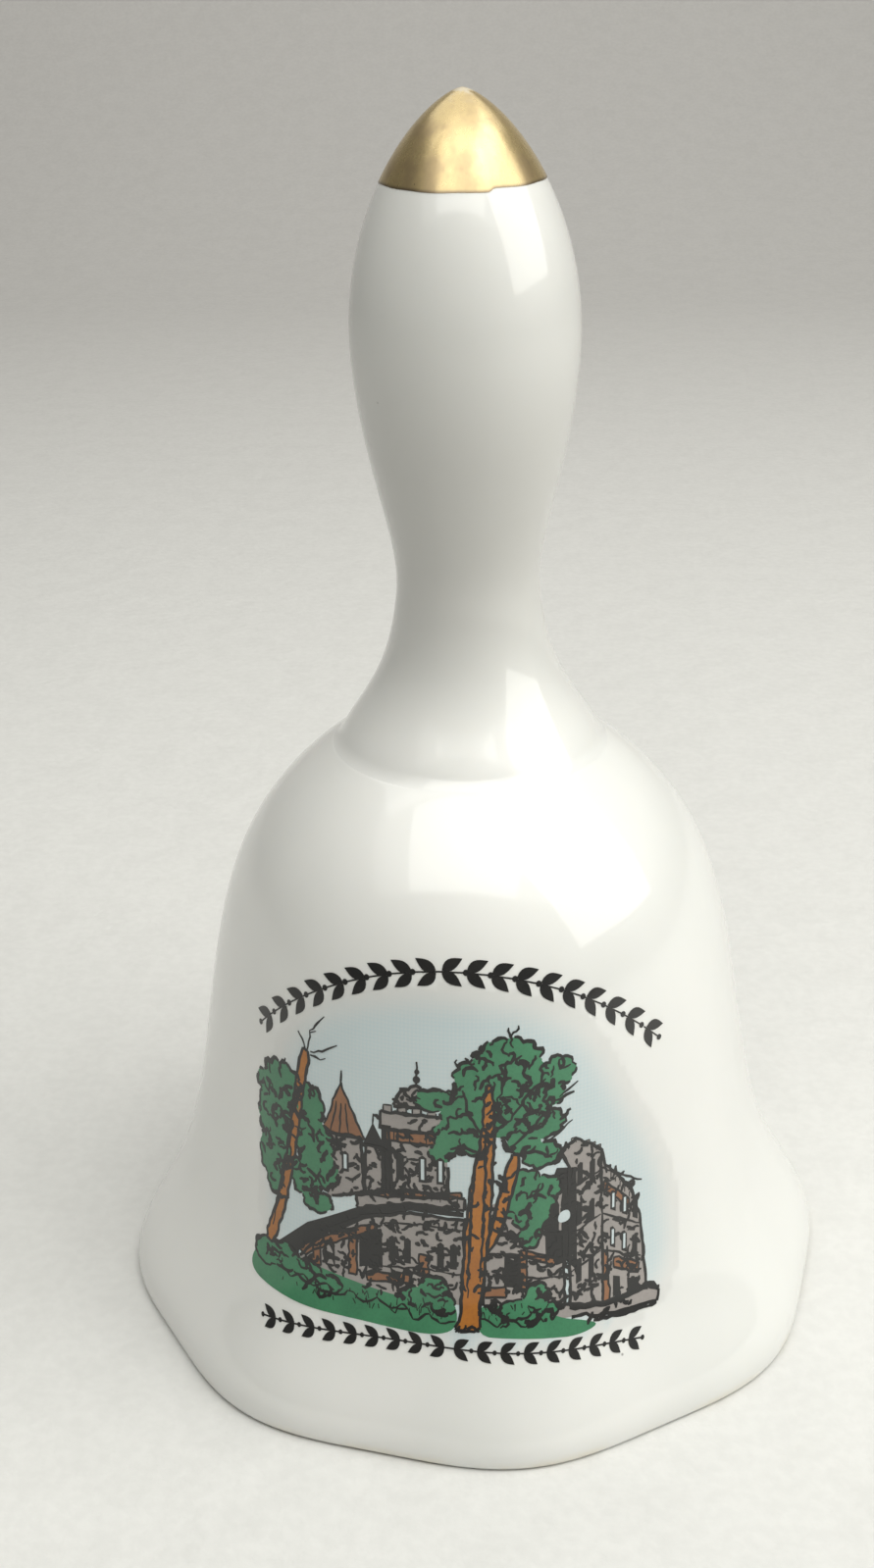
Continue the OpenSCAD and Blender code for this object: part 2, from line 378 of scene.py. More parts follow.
@dataclass(frozen=True)
class FiredInk:
    """One flat colour of the transfer, fired into the glaze: even, with a faint screen and a soft gloss."""

    name: str
    colour: Colour
    deep: Colour

    def build(self) -> bpy.types.Material:
        """Makes the material.

        Returns:
            The material.
        """
        shader = Shader(self.name)
        clouds = shader.noise(3.2, 3)
        grain = shader.noise(0.28, 2)
        share = clouds.ramp(0.3, 0.75) * 0.65 + grain.ramp(0.4, 0.7) * 0.35
        return shader.finish(
            Base_Color=shader.blend(share, self.colour, self.deep),
            Roughness=grain * 0.15 + 0.34,
            Normal=shader.bump(grain, 0.012, 0.5),
            Coat_Weight=0.55,
            Coat_Roughness=0.06,
            Coat_IOR=1.5,
        )


@dataclass(frozen=True)
class SettingPlaster:
    """Matt, slightly lumpy plaster with small air holes, which are also painted darker: painted shade in
    them.
    """

    name: str = "setting_plaster"
    light: Colour = (0.72, 0.69, 0.62)
    dark: Colour = (0.52, 0.49, 0.43)

    def build(self) -> bpy.types.Material:
        """Makes the material.

        Returns:
            The material.
        """
        shader = Shader(self.name)
        lumps = shader.noise(1.6, 4)
        # The air holes are sunk by the bump and also painted darker, as painted shade.
        holes = shader.specks(1.1, 0.2, 0.3)
        return shader.finish(
            Base_Color=shader.blend(lumps.ramp(0.35, 0.7) * 0.7 + holes * 0.3, self.light, self.dark),
            Roughness=lumps * 0.15 + 0.78,
            Normal=shader.bump(lumps - holes, 0.25),
        )


@dataclass(frozen=True)
class DrawnWire:
    """Bright drawn steel wire with fine lines along it and a few dull patches."""

    name: str = "drawn_wire"
    bright: Colour = (0.66, 0.65, 0.62)
    dull: Colour = (0.33, 0.30, 0.26)

    def build(self) -> bpy.types.Material:
        """Makes the material.

        Returns:
            The material.
        """
        shader = Shader(self.name)
        patches = shader.noise(1.4, 4)
        lines = shader.noise(0.16, 2, (1, 1, 14))
        return shader.finish(
            Base_Color=shader.blend(patches.ramp(0.5, 0.75) * 0.6, self.bright, self.dull),
            Metallic=1.0,
            Roughness=patches * 0.25 + lines * 0.12 + 0.12,
            Normal=shader.bump(lines, 0.02, 0.5),
        )


@dataclass(frozen=True)
class PaperFloor:
    """Plain pale paper, faintly fibrous."""

    name: str = "floor_paper"
    light: Colour = (0.70, 0.70, 0.685)
    dark: Colour = (0.66, 0.66, 0.645)

    def build(self) -> bpy.types.Material:
        """Makes the material.

        Returns:
            The material.
        """
        shader = Shader(self.name)
        fibres = shader.noise(1.5, 5)
        creases = shader.noise(6.5, 4)
        share = fibres.ramp(0.35, 0.65) * 0.6 + creases.ramp(0.4, 0.65) * 0.4
        return shader.finish(
            Base_Color=shader.blend(share, self.light, self.dark),
            Roughness=0.85,
            Normal=shader.bump(fibres * 0.25 + creases, 0.9, 0.35),
        )


class Finish(Enum):
    """Every finish of the bell, with the record's material slot that it belongs to."""

    GLAZE = (GlazedPorcelain("porcelain_glaze"), "porcelain")
    # The handle's glaze is the body's glaze with painted shade up its narrow middle.
    HANDLE = (GlazedPorcelain("handle_glaze_painted_shade", painted_waist_shade=(0.585, 0.58, 0.555)), "porcelain")
    SKY = (GlazedPorcelain("sky_tint_glaze", tint=(0.61, 0.73, 0.755)), "sky_ink")
    BEAD = (GlazedPorcelain("bead_glaze", white=(0.77, 0.76, 0.72), rim_height=0.3), "bead_glaze")
    GOLD = (GoldLustre(), "gilt")
    GREEN = (FiredInk("green_ink", (0.056, 0.232, 0.114), (0.043, 0.178, 0.090)), "picture_inks")
    BARK = (FiredInk("bark_ink", (0.44, 0.165, 0.022), (0.33, 0.12, 0.025)), "picture_inks")
    BRICK = (FiredInk("brick_ink", (0.29, 0.132, 0.060), (0.22, 0.10, 0.05)), "picture_inks")
    STONE = (FiredInk("stone_ink", (0.345, 0.315, 0.298), (0.285, 0.265, 0.255)), "picture_inks")
    PANE = (FiredInk("pane_ink", (0.60, 0.68, 0.70), (0.52, 0.60, 0.62)), "picture_inks")
    BLACK = (FiredInk("black_ink", (0.012, 0.012, 0.012), (0.020, 0.019, 0.018)), "black_ink")
    PLASTER = (SettingPlaster(), "plaster")
    WIRE = (DrawnWire(), "wire")


class Finishes:
    """Makes each material once and dresses pieces with it."""

    def __init__(self) -> None:
        """Starts with no material made."""
        self.made: dict[Finish, bpy.types.Material] = {}

    def dress(self, piece: bpy.types.Object, finish: Finish) -> None:
        """Gives a piece one finish all over.

        Args:
            piece: The piece.
            finish: Its finish.
        """
        if finish not in self.made:
            self.made[finish] = finish.value[0].build()
        piece.data.materials.clear()
        piece.data.materials.append(self.made[finish])


# ---- The bell's own geometry ----

@dataclass(frozen=True)
class Station:
    """A point of an outline: height and radius in mm, slope and bend per mm of height."""

    height: float
    radius: float
    slope: float
    bend: float


class Outline:
    """A smooth outline through stations that keeps each one's slope and bend."""

    def __init__(self, stations: Sequence[Station]) -> None:
        """Takes the stations from the lowest to the highest."""
        self.stations = stations

    def radius(self, z: float) -> float:
        """Radius at a height, both in mm."""
        low, high = self.stations[-2:]
        for first, second in zip(self.stations, self.stations[1:]):
            if z <= second.height:
                low, high = first, second
                break
        span = high.height - low.height
        t = (z - low.height) / span
        t3, t4, t5 = t ** 3, t ** 4, t ** 5
        return (
            low.radius * (1 - 10 * t3 + 15 * t4 - 6 * t5)
            + low.slope * span * (t - 6 * t3 + 8 * t4 - 3 * t5)
            + low.bend * span ** 2 * (0.5 * t * t - 1.5 * t3 + 1.5 * t4 - 0.5 * t5)
            + high.radius * (10 * t3 - 15 * t4 + 6 * t5)
            + high.slope * span * (-4 * t3 + 7 * t4 - 3 * t5)
            + high.bend * span ** 2 * (0.5 * t3 - t4 + 0.5 * t5)
        )


def slope_of(radius: Callable[[float], float], z: float, step: float = 0.02) -> float:
    """Slope of a radius over height at z."""
    return (radius(z + step) - radius(z - step)) / (2 * step)


def normal_of(slope: float) -> Point:
    """Unit normal (out, up) of an outline with that slope."""
    length = math.hypot(1, slope)
    return 1 / length, -slope / length


@dataclass
class BellShape:
    """The surfaces of the bell, in mm, with their heights taken from the frame."""

    rim_radius: float = 38.36
    flare_height: float = 19.0
    flare_radius: float = 31.1
    shoulder_drop: float = 15.4
    shoulder_radius: float = 25.5
    waist_rise: float = 17.0
    waist_radius: float = 7.2
    tip_rise: float = 22.0
    belly_radius: float = 11.1
    tip_shape: float = 0.69
    wall: float = 2.4
    handle_wall: float = 2.2
    foot_width: float = 1.0
    lobes: int = 8
    lobe_depth: float = 0.62
    lobe_turn: float = math.radians(12.25)
    front: float = math.radians(-90)
    seat_radius: float = 13.6
    seat_z: float = field(init=False)
    belly_z: float = field(init=False)
    tip_z: float = field(init=False)
    gilt_z: float = field(init=False)

    def __post_init__(self) -> None:
        """Reads the heights from the frame and sets up both outlines."""
        low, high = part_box("handle")
        self.seat_z = low.z / MM
        self.tip_z = high.z / MM
        self.gilt_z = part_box("gilt_tip")[0].z / MM
        self.belly_z = self.tip_z - self.tip_rise
        belly_bend = -2 * self.tip_shape * self.belly_radius / self.tip_rise ** 2
        self.body = Outline([
            Station(0, self.rim_radius, 0.26, -0.29),
            Station(self.flare_height, self.flare_radius, -0.25, 0.02),
            Station(self.seat_z - self.shoulder_drop, self.shoulder_radius, -0.34, -0.03),
            Station(self.seat_z, self.seat_radius, -1.38, -0.1),
        ])
        self.grip = Outline([
            Station(self.seat_z, self.seat_radius, -0.47, -0.15),
            Station(self.seat_z + self.waist_rise, self.waist_radius, 0, 0.075),
            Station(self.belly_z, self.belly_radius, 0, belly_bend),
        ])

    def handle_radius(self, z: float) -> float:
        """Outer radius of the handle at a height."""
        if z <= self.belly_z:
            return self.grip.radius(z)
        share = min(1.0, (z - self.belly_z) / self.tip_rise)
        return self.belly_radius * (1 - share * share) ** self.tip_shape

    def lobe(self, angle: float, z: float) -> float:
        """How far the lobed skirt stands out at an angle and a height."""
        fade = max(0.0, 1 - z / self.seat_z) ** 1.5
        return self.lobe_depth * fade * math.cos(self.lobes * (angle - self.front - self.lobe_turn))

    def wall_point(self, side: float, z: float, out: float) -> Vector:
        """A point on the body's outside.

        Args:
            side: The distance round the wall from the front, in mm.
            z: The height, in mm.
            out: The distance above the glaze, in mm.

        Returns:
            The point, in metres.
        """
        mean = self.body.radius(z)
        angle = self.front + side / mean
        across, up = normal_of(slope_of(self.body.radius, z))
        radius = mean + self.lobe(angle, z) + out * across
        return Vector((radius * math.cos(angle), radius * math.sin(angle), z + out * up)) * MM


def spread(low: float, high: float, count: int) -> list[float]:
    """Even steps from low to high, both included."""
    return [low + (high - low) * i / count for i in range(count + 1)]


def arc(centre: Point, radius: float, start: float, end: float, count: int) -> list[Point]:
    """Points along an arc, with angles in degrees, both ends included."""
    return [
        (centre[0] + radius * math.cos(math.radians(a)), centre[1] + radius * math.sin(math.radians(a)))
        for a in spread(start, end, count)
    ]


def add_piece(name: str, bm: bmesh.types.BMesh, smooth_angle: float = 40.0) -> bpy.types.Object:
    """Turns a bmesh into an object at the origin.

    Args:
        name: The piece's name.
        bm: The finished bmesh, in metres. It is freed.
        smooth_angle: Edges sharper than this stay sharp, in degrees.

    Returns:
        The object.
    """
    mesh = bpy.data.meshes.new(name)
    bm.to_mesh(mesh)
    bm.free()
    mesh.shade_smooth()
    mesh.set_sharp_from_angle(angle=math.radians(smooth_angle))
    piece = bpy.data.objects.new(name, mesh)
    bpy.context.scene.collection.objects.link(piece)
    return piece


def weld(bm: bmesh.types.BMesh) -> None:
    """Merges doubles, then turns every face outwards."""
    bmesh.ops.remove_doubles(bm, verts=bm.verts, dist=WELD)
    bmesh.ops.recalc_face_normals(bm, faces=bm.faces)


def turned(section: Sequence[Point], steps: int) -> bmesh.types.BMesh:
    """Spins a closed section in the XZ plane round the Z axis.

    Args:
        section: Its (radius, height) points, in mm.
        steps: The number of steps in a full turn.

    Returns:
        The bmesh, in metres, welded and facing outwards.
    """
    bm = bmesh.new()
    verts = [bm.verts.new((r * MM, 0, z * MM)) for r, z in section]
    pairs = [*zip(verts, verts[1:]), (verts[-1], verts[0])]
    edges = [bm.edges.new(pair) for pair in pairs]
    bmesh.ops.spin(
        bm, geom=verts + edges, cent=(0, 0, 0), axis=(0, 0, 1), angle=math.tau, steps=steps, use_merge=True
    )
    weld(bm)
    return bm


# ---- Porcelain ----

@dataclass
class Porcelain:
    """The cast body with its lobed skirt, and the handle stuck on its crown."""

    shape: BellShape
    finishes: Finishes
    turns: int = 320
    rows: int = 96
    handle_turns: int = 144
    fillet: float = 0.8
    fillet_drop: float = 0.62
    tip_cap: float = 6.0
    plug_flange: float = 2.0
    chamfer: float = 0.3
    sliver: float = 0.02

    def _body_section(self) -> list[Point]:
        """The wall's section: round the foot, up the outside, over the crown and down the inside."""
        s = self.shape
        corner = (s.wall - s.foot_width) / 2
        middle = s.body.radius(corner) - s.wall / 2
        heights = spread(corner, s.seat_z, self.rows)
        outside = [(s.body.radius(z), z) for z in heights]
        inside = []
        for z in reversed(heights[2:]):
            across, up = normal_of(slope_of(s.body.radius, min(z, s.seat_z - self.sliver)))
            inside.append((s.body.radius(z) - s.wall * across, z - s.wall * up))
        hole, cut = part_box("crown_plug"), self.chamfer
        hole_radius = (hole[1].x - hole[0].x) / 2 / MM - self.plug_flange
        crown = [(hole_radius + cut, s.seat_z), (hole_radius, s.seat_z - cut)]
        crown += [(hole_radius, inside[0][1] + cut), (hole_radius + cut, inside[0][1])]
        outer_foot = arc((middle + s.foot_width / 2, corner), corner, -90, -10, 6)
        inner_foot = arc((middle - s.foot_width / 2, corner), corner, -170, -90, 6)
        return outer_foot + outside + crown + inside + inner_foot

    def build_body(self) -> bpy.types.Object:
        """Makes the lobed shell.

        Returns:
            The body.
        """
        bm = turned(self._body_section(), self.turns)
        for vert in bm.verts:
            radius = math.hypot(vert.co.x, vert.co.y)
            angle = math.atan2(vert.co.y, vert.co.x)
            grown = 1 + self.shape.lobe(angle, vert.co.z / MM) * MM / radius
            vert.co.x *= grown
            vert.co.y *= grown
        piece = add_piece("porcelain_body", bm)
        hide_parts("bell_body")
        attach(piece, "bell")
        self.finishes.dress(piece, Finish.GLAZE)
        return piece

    def build_handle(self) -> bpy.types.Object:
        """Makes the hollow handle, with the small fillet of slip that sticks it to the crown.

        Returns:
            The handle.
        """
        s = self.shape
        corner = (s.seat_radius, s.seat_z)
        low = s.seat_z - self.fillet * self.fillet_drop
        foot = (s.body.radius(low) + self.sliver, low - self.sliver)
        top = (s.handle_radius(s.seat_z + self.fillet), s.seat_z + self.fillet)
        fillet = []
        for t in spread(0, 1, 8):
            weights = ((1 - t) ** 2, 2 * t * (1 - t), t * t)
            ends = tuple(zip(weights, (foot, corner, top)))
            fillet.append(tuple(sum(w * p[k] for w, p in ends) for k in (0, 1)))
        heights = spread(s.seat_z + self.fillet, s.belly_z, 70)[1:]
        near_tip = [s.belly_z + s.tip_rise * math.sin(math.radians(a)) for a in spread(0, 90, 48)[1:]]
        outside = [(s.handle_radius(z), z) for z in heights + near_tip]
        outside[-1] = (0.0, s.tip_z)
        hollow_top = s.tip_z - self.tip_cap
        inside = [(0.0, hollow_top)]
        for z in reversed(spread(s.seat_z + 0.01, hollow_top, 40)):
            slope = slope_of(s.handle_radius, max(z, s.seat_z + self.sliver))
            inside.append((s.handle_radius(z) - s.handle_wall * math.hypot(1, slope), z))
        under = [(inside[-1][0], low - 0.5), (foot[0] - 0.6, low - 0.5)]
        piece = add_piece("handle_casting", turned(fillet + outside + inside + under, self.handle_turns))
        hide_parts("handle")
        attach(piece, "bell")
        self.finishes.dress(piece, Finish.HANDLE)
        return piece

    def build(self) -> list[bpy.types.Object]:
        """Makes both castings."""
        return [self.build_body(), self.build_handle()]


@dataclass
class GiltTip:
    """The gold brushed over the tip, with the painter's slightly uneven lower edge."""

    shape: BellShape
    finishes: Finishes
    film: float = 0.035
    sunk: float = 0.02
    gap: float = 0.1
    steps: int = 200
    rows: int = 56
    waver: float = 0.10
    overlap: float = 0.30
    overlap_start: float = math.radians(-66)
    overlap_end: float = math.radians(10)

    def _edge(self, angle: float) -> float:
        """Height of the painted edge above its mean, in mm, with the step where the brush met its start."""
        wave = 0.5 * math.sin(2 * angle + 0.6) + 0.3 * math.sin(5 * angle + 1.9) + 0.2 * math.sin(11 * angle)
        rise = 1 / (1 + math.exp(-(angle - self.overlap_start) / 0.012))
        fall = 1 / (1 + math.exp((angle - self.overlap_end) / 0.25))
        return self.waver * wave + self.overlap * rise * fall

    def build(self) -> list[bpy.types.Object]:
        """Makes the film of gold.

        Returns:
            The one piece.
        """
        s = self.shape
        depth = s.tip_z - s.gilt_z
        shares = [math.sin(math.radians(a)) for a in spread(0, 90, self.rows)]
        under = [(self.gap + t, -t) for t in shares]
        bm = turned(under + [(self.gap + t, t + self.gap) for t in reversed(shares)], self.steps)
        layer = bm.verts.layers.float.new("from_edge")
        for vert in bm.verts:
            angle = math.atan2(vert.co.y, vert.co.x)
            outer = vert.co.z > 0
            share = vert.co.z / MM - self.gap if outer else -vert.co.z / MM
            share = min(1.0, max(0.0, share))
            z = s.gilt_z + share * depth + (1 - share) ** 3 * self._edge(angle)
            across, up = normal_of(slope_of(s.handle_radius, min(z, s.tip_z - 0.06)))
            out = self.film if outer else -self.sunk
            radius = max(0.0, s.handle_radius(z) + out * across) if share < 0.9999 else 0.0
            vert[layer] = share
            vert.co = Vector((radius * math.cos(angle), radius * math.sin(angle), z + out * up)) * MM
        weld(bm)
        piece = add_piece("gold_lustre", bm, 60)
        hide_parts("gilt_tip")
        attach(piece, "bell")
        self.finishes.dress(piece, Finish.GOLD)
        return [piece]


# ---- The transfer picture ----

class Ink(Enum):
    """The transfer's colours in printing order: finish, and height of the film above the glaze in mm."""

    STONE = (Finish.STONE, 0.020)
    PANE = (Finish.PANE, 0.026)
    BRICK = (Finish.BRICK, 0.030)
    GREEN = (Finish.GREEN, 0.036)
    BARK = (Finish.BARK, 0.042)
    BLACK = (Finish.BLACK, 0.050)


def inside(point: Point, outline: Sequence[Point]) -> bool:
    """True if a point lies within a closed outline."""
    x, y = point
    found = False
    for (x0, y0), (x1, y1) in zip(outline, [*outline[1:], outline[0]]):
        if (y0 > y) != (y1 > y) and x < (x1 - x0) * (y - y0) / (y1 - y0) + x0:
            found = not found
    return found


def resampled(points: Sequence[Point], step: float) -> list[Point]:
    """Points along a line, about a step apart, with its corners kept."""
    result = [points[0]]
    for (x0, y0), (x1, y1) in zip(points, points[1:]):
        count = max(1, round(math.hypot(x1 - x0, y1 - y0) / step))
        result += [(x0 + (x1 - x0) * i / count, y0 + (y1 - y0) * i / count) for i in range(1, count + 1)]
    return result


def rounded(points: Sequence[Point], passes: int = 2) -> list[Point]:
    """A closed outline with its corners cut, then cut again."""
    result = list(points)
    for _ in range(passes):
        cut = []
        for (x0, y0), (x1, y1) in zip(result, [*result[1:], result[0]]):
            for near, far in ((0.75, 0.25), (0.25, 0.75)):
                cut.append((near * x0 + far * x1, near * y0 + far * y1))
        result = cut
    return result


def between(first: Point, second: Point, share: float) -> Point:
    """The point a share of the way from the first to the second."""
    return first[0] + (second[0] - first[0]) * share, first[1] + (second[1] - first[1]) * share


def upright(x0: float, x1: float, z0: float, z1: float) -> list[Point]:
    """Corners of an upright rectangle, from x0 to x1 and from z0 to z1."""
    return [(x0, z0), (x1, z0), (x1, z1), (x0, z1)]


class Drawing:
    """Marks on the flat transfer: closed outlines in mm, across from the middle and up from the rim."""

    def __init__(self, seed: int) -> None:
        """Starts an empty drawing.

        Args:
            seed: Seeds the hand-drawn unevenness.
        """
        self.dice = random.Random(seed)
        self.marks: dict[Ink, list[tuple[list[Point], float]]] = {ink: [] for ink in Ink}
        self.covers: list[list[Point]] = []

    def patch(self, ink: Ink, outline: Sequence[Point], lift: float = 0.0) -> None:
        """Adds one filled shape.

        Args:
            ink: Its colour.
            outline: Its outline.
            lift: Height of the film above that ink's own, in mm.
        """
        self.marks[ink].append((list(outline), lift))

    def hidden(self, point: Point) -> bool:
        """True if something drawn in front covers the point."""
        return any(inside(point, cover) for cover in self.covers)

    def _ribbon(self, points: Sequence[Point], width: float, taper: float) -> None:
        """Adds one pen stroke without sharp corners, wider in its middle."""
        count = len(points) - 1
        left, right = [], []
        for i, (x, y) in enumerate(points):
            x0, y0 = points[max(0, i - 1)]
            x1, y1 = points[min(count, i + 1)]
            length = math.hypot(x1 - x0, y1 - y0) or 1.0
            ends = min(i, count - i) / max(1.0, count / 2)
            half = width / 2 * (1 - taper * (1 - min(1.0, ends)) ** 2) * self.dice.uniform(0.8, 1.2)
            nx, ny = -(y1 - y0) / length * half, (x1 - x0) / length * half
            left.append((x + nx, y + ny))
            right.append((x - nx, y - ny))
        self.patch(Ink.BLACK, left + right[::-1])

    def stroke(self, points: Sequence[Point], width: float = 0.24, shake: float = 0.05,
               behind: bool = False, taper: float = 0.5) -> None:
        """Adds a pen line, broken at its corners.

        Args:
            points: The points that it passes through.
            width: Its width, in mm.
            shake: How far its points stray, in mm.
            behind: True if shapes in front hide it.
            taper: How much thinner its ends are, from 0 to 1.
        """
        fine = resampled(points, 0.55)
        fine = [(x + self.dice.gauss(0, shake), y + self.dice.gauss(0, shake)) for x, y in fine]
        run: list[Point] = []
        for point in fine:
            if behind and self.hidden(point):
                if len(run) > 1:
                    self._ribbon(run, width, taper)
                run = []
                continue
            if len(run) > 1:
                a = math.atan2(run[-1][1] - run[-2][1], run[-1][0] - run[-2][0])
                b = math.atan2(point[1] - run[-1][1], point[0] - run[-1][0])
                if abs((b - a + math.pi) % math.tau - math.pi) > 0.7 or len(run) > 12:
                    self._ribbon(run, width, taper)
                    run = [run[-1]]
            run.append(point)
        if len(run) > 1:
            self._ribbon(run, width, taper)

    def ring(self, outline: Sequence[Point], width: float = 0.24, behind: bool = False) -> None:
        """Draws round a closed outline."""
        self.stroke([*outline, outline[0]], width, 0.05, behind, 0.15)

    def specks(self, outline: Sequence[Point], density: float, lean: float = 0.0,
               behind: bool = True) -> None:
        """Fills a wall with short wandering pen marks, as on rough stone.

        Args:
            outline: The wall.
            density: Marks per square mm.
            lean: The slope of the courses of stone.
            behind: True if shapes in front hide them.
        """
        xs, ys = [p[0] for p in outline], [p[1] for p in outline]
        count = int((max(xs) - min(xs)) * (max(ys) - min(ys)) * density)
        for _ in range(count):
            x, y = self.dice.uniform(min(xs), max(xs)), self.dice.uniform(min(ys), max(ys))
            if not inside((x, y), outline) or behind and self.hidden((x, y)):
                continue
            quarter = self.dice.choice((0, 0, 1, 2, 2, 3))
            heading = math.atan(lean) + quarter * math.pi / 2 + self.dice.gauss(0, 0.3)
            self.scribble((x, y), self.dice.randint(2, 5), 0.30, 0.9, 0.38, heading)

    def scribble(self, start: Point, steps: int, step: float = 0.34, turn: float = 0.9,
                 width: float = 0.24, heading: float | None = None) -> None:
        """Adds a short wandering pen mark.

        Args:
            start: Where it starts.
            steps: The number of its steps.
            step: The length of a step, in mm.
            turn: How much it may turn at each step, in radians.
            width: Its mean width, in mm.
            heading: The way that it starts, in radians, or None for any way.
        """
        way = self.dice.uniform(0, math.tau) if heading is None else heading
        points = [start]
        for _ in range(steps):
            x, y = points[-1]
            points.append((x + step * math.cos(way), y + step * math.sin(way)))
            way += self.dice.uniform(-turn, turn)
        self._ribbon(points, width * self.dice.uniform(0.7, 1.3), 0.5)

    def _clump_edge(self, centre: Point, radii: Point) -> list[Point]:
        """The ragged, leafy edge of a clump."""
        bumps = max(6, round((radii[0] + radii[1]) * 2.0))
        phase = self.dice.uniform(0, math.tau)
        edge = []
        for i in range(bumps * 6):
            t = math.tau * i / (bumps * 6)
            swell = 0.86 + 0.16 * abs(math.sin(bumps * t / 2 + phase)) + self.dice.gauss(0, 0.028)
            across, up = radii[0] * swell * math.cos(t), radii[1] * swell * math.sin(t)
            edge.append((centre[0] + across, centre[1] + up))
        return edge

    def foliage(self, clumps: Sequence[tuple[float, float, float, float]], marks: float = 1.6) -> None:
        """Adds a mass of leaves: merged green clumps, a broken pen outline and curls of pen inside.

        Args:
            clumps: Its parts, each the middle across and up, then the half width and half height.
            marks: Pen marks per square mm.
        """
        edges = [self._clump_edge((x, z), (rx, rz)) for x, z, rx, rz in clumps]
        self.covers += edges
        for edge in edges:
            self.patch(Ink.GREEN, edge, self.dice.uniform(0, 0.003))
        for k, edge in enumerate(edges):
            others = edges[:k] + edges[k + 1:]
            run: list[Point] = []
            for point in [*edge, edge[0]]:
                if any(inside(point, other) for other in others) or self.dice.random() < 0.06:
                    if len(run) > 2:
                        self._ribbon(run, self.dice.uniform(0.30, 0.52), 0.5)
                    run = []
                else:
                    run.append(point)
            if len(run) > 2:
                self._ribbon(run, self.dice.uniform(0.30, 0.52), 0.5)
        for x, z, rx, rz in clumps:
            for _ in range(int(rx * rz * marks)):
                t, share = self.dice.uniform(0, math.tau), math.sqrt(self.dice.random()) * 0.95
                spot = (x + rx * share * math.cos(t), z + rz * share * math.sin(t))
                low = share * math.sin(t) < -0.25
                self.scribble(spot, self.dice.randint(3, 7), 0.32, 1.2, 0.56 if low else 0.34)

    def window(self, x: float, z: float, width: float, height: float, lean: float = 0.0,
               lit: bool = True) -> None:
        """Adds a dark window with a pale pane.

        Args:
            x: Its middle.
            z: Its sill.
            width: Its width.
            height: Its height.
            lean: The rise of its head and sill per mm across.
            lit: True if a pane shows.
        """
        if self.hidden((x, z + height / 2)):
            return
        half = width / 2
        frame = [
            (x - half, z - half * lean), (x + half, z + half * lean), (x + half, z + height + half * lean),
            (x, z + height + 0.35 * width), (x - half, z + height - half * lean),
        ]
        self.patch(Ink.BLACK, frame)
        if lit:
            inner = half * 0.42
            self.patch(Ink.PANE, upright(x - inner, x + inner, z + 0.3, z + height - 0.1), 0.03)

    def teeth(self, start: Point, end: Point, size: float) -> None:
        """Adds a row of stone merlons along a wall's top.

        Args:
            start: The row's first point.
            end: Its last point.
            size: The width of a merlon, in mm.
        """
        count = max(2, round(math.hypot(end[0] - start[0], end[1] - start[1]) / (1.7 * size)))
        for i in range(count):
            x, z = between(start, end, (i + 0.5) / count)
            if self.hidden((x, z)):
                continue
            box = upright(x - size / 2, x + size / 2, z - 0.1, z + size * 0.9)
            self.patch(Ink.STONE, box)
            self.stroke([box[0], box[3], box[2], box[1]], 0.2, 0.02, True)


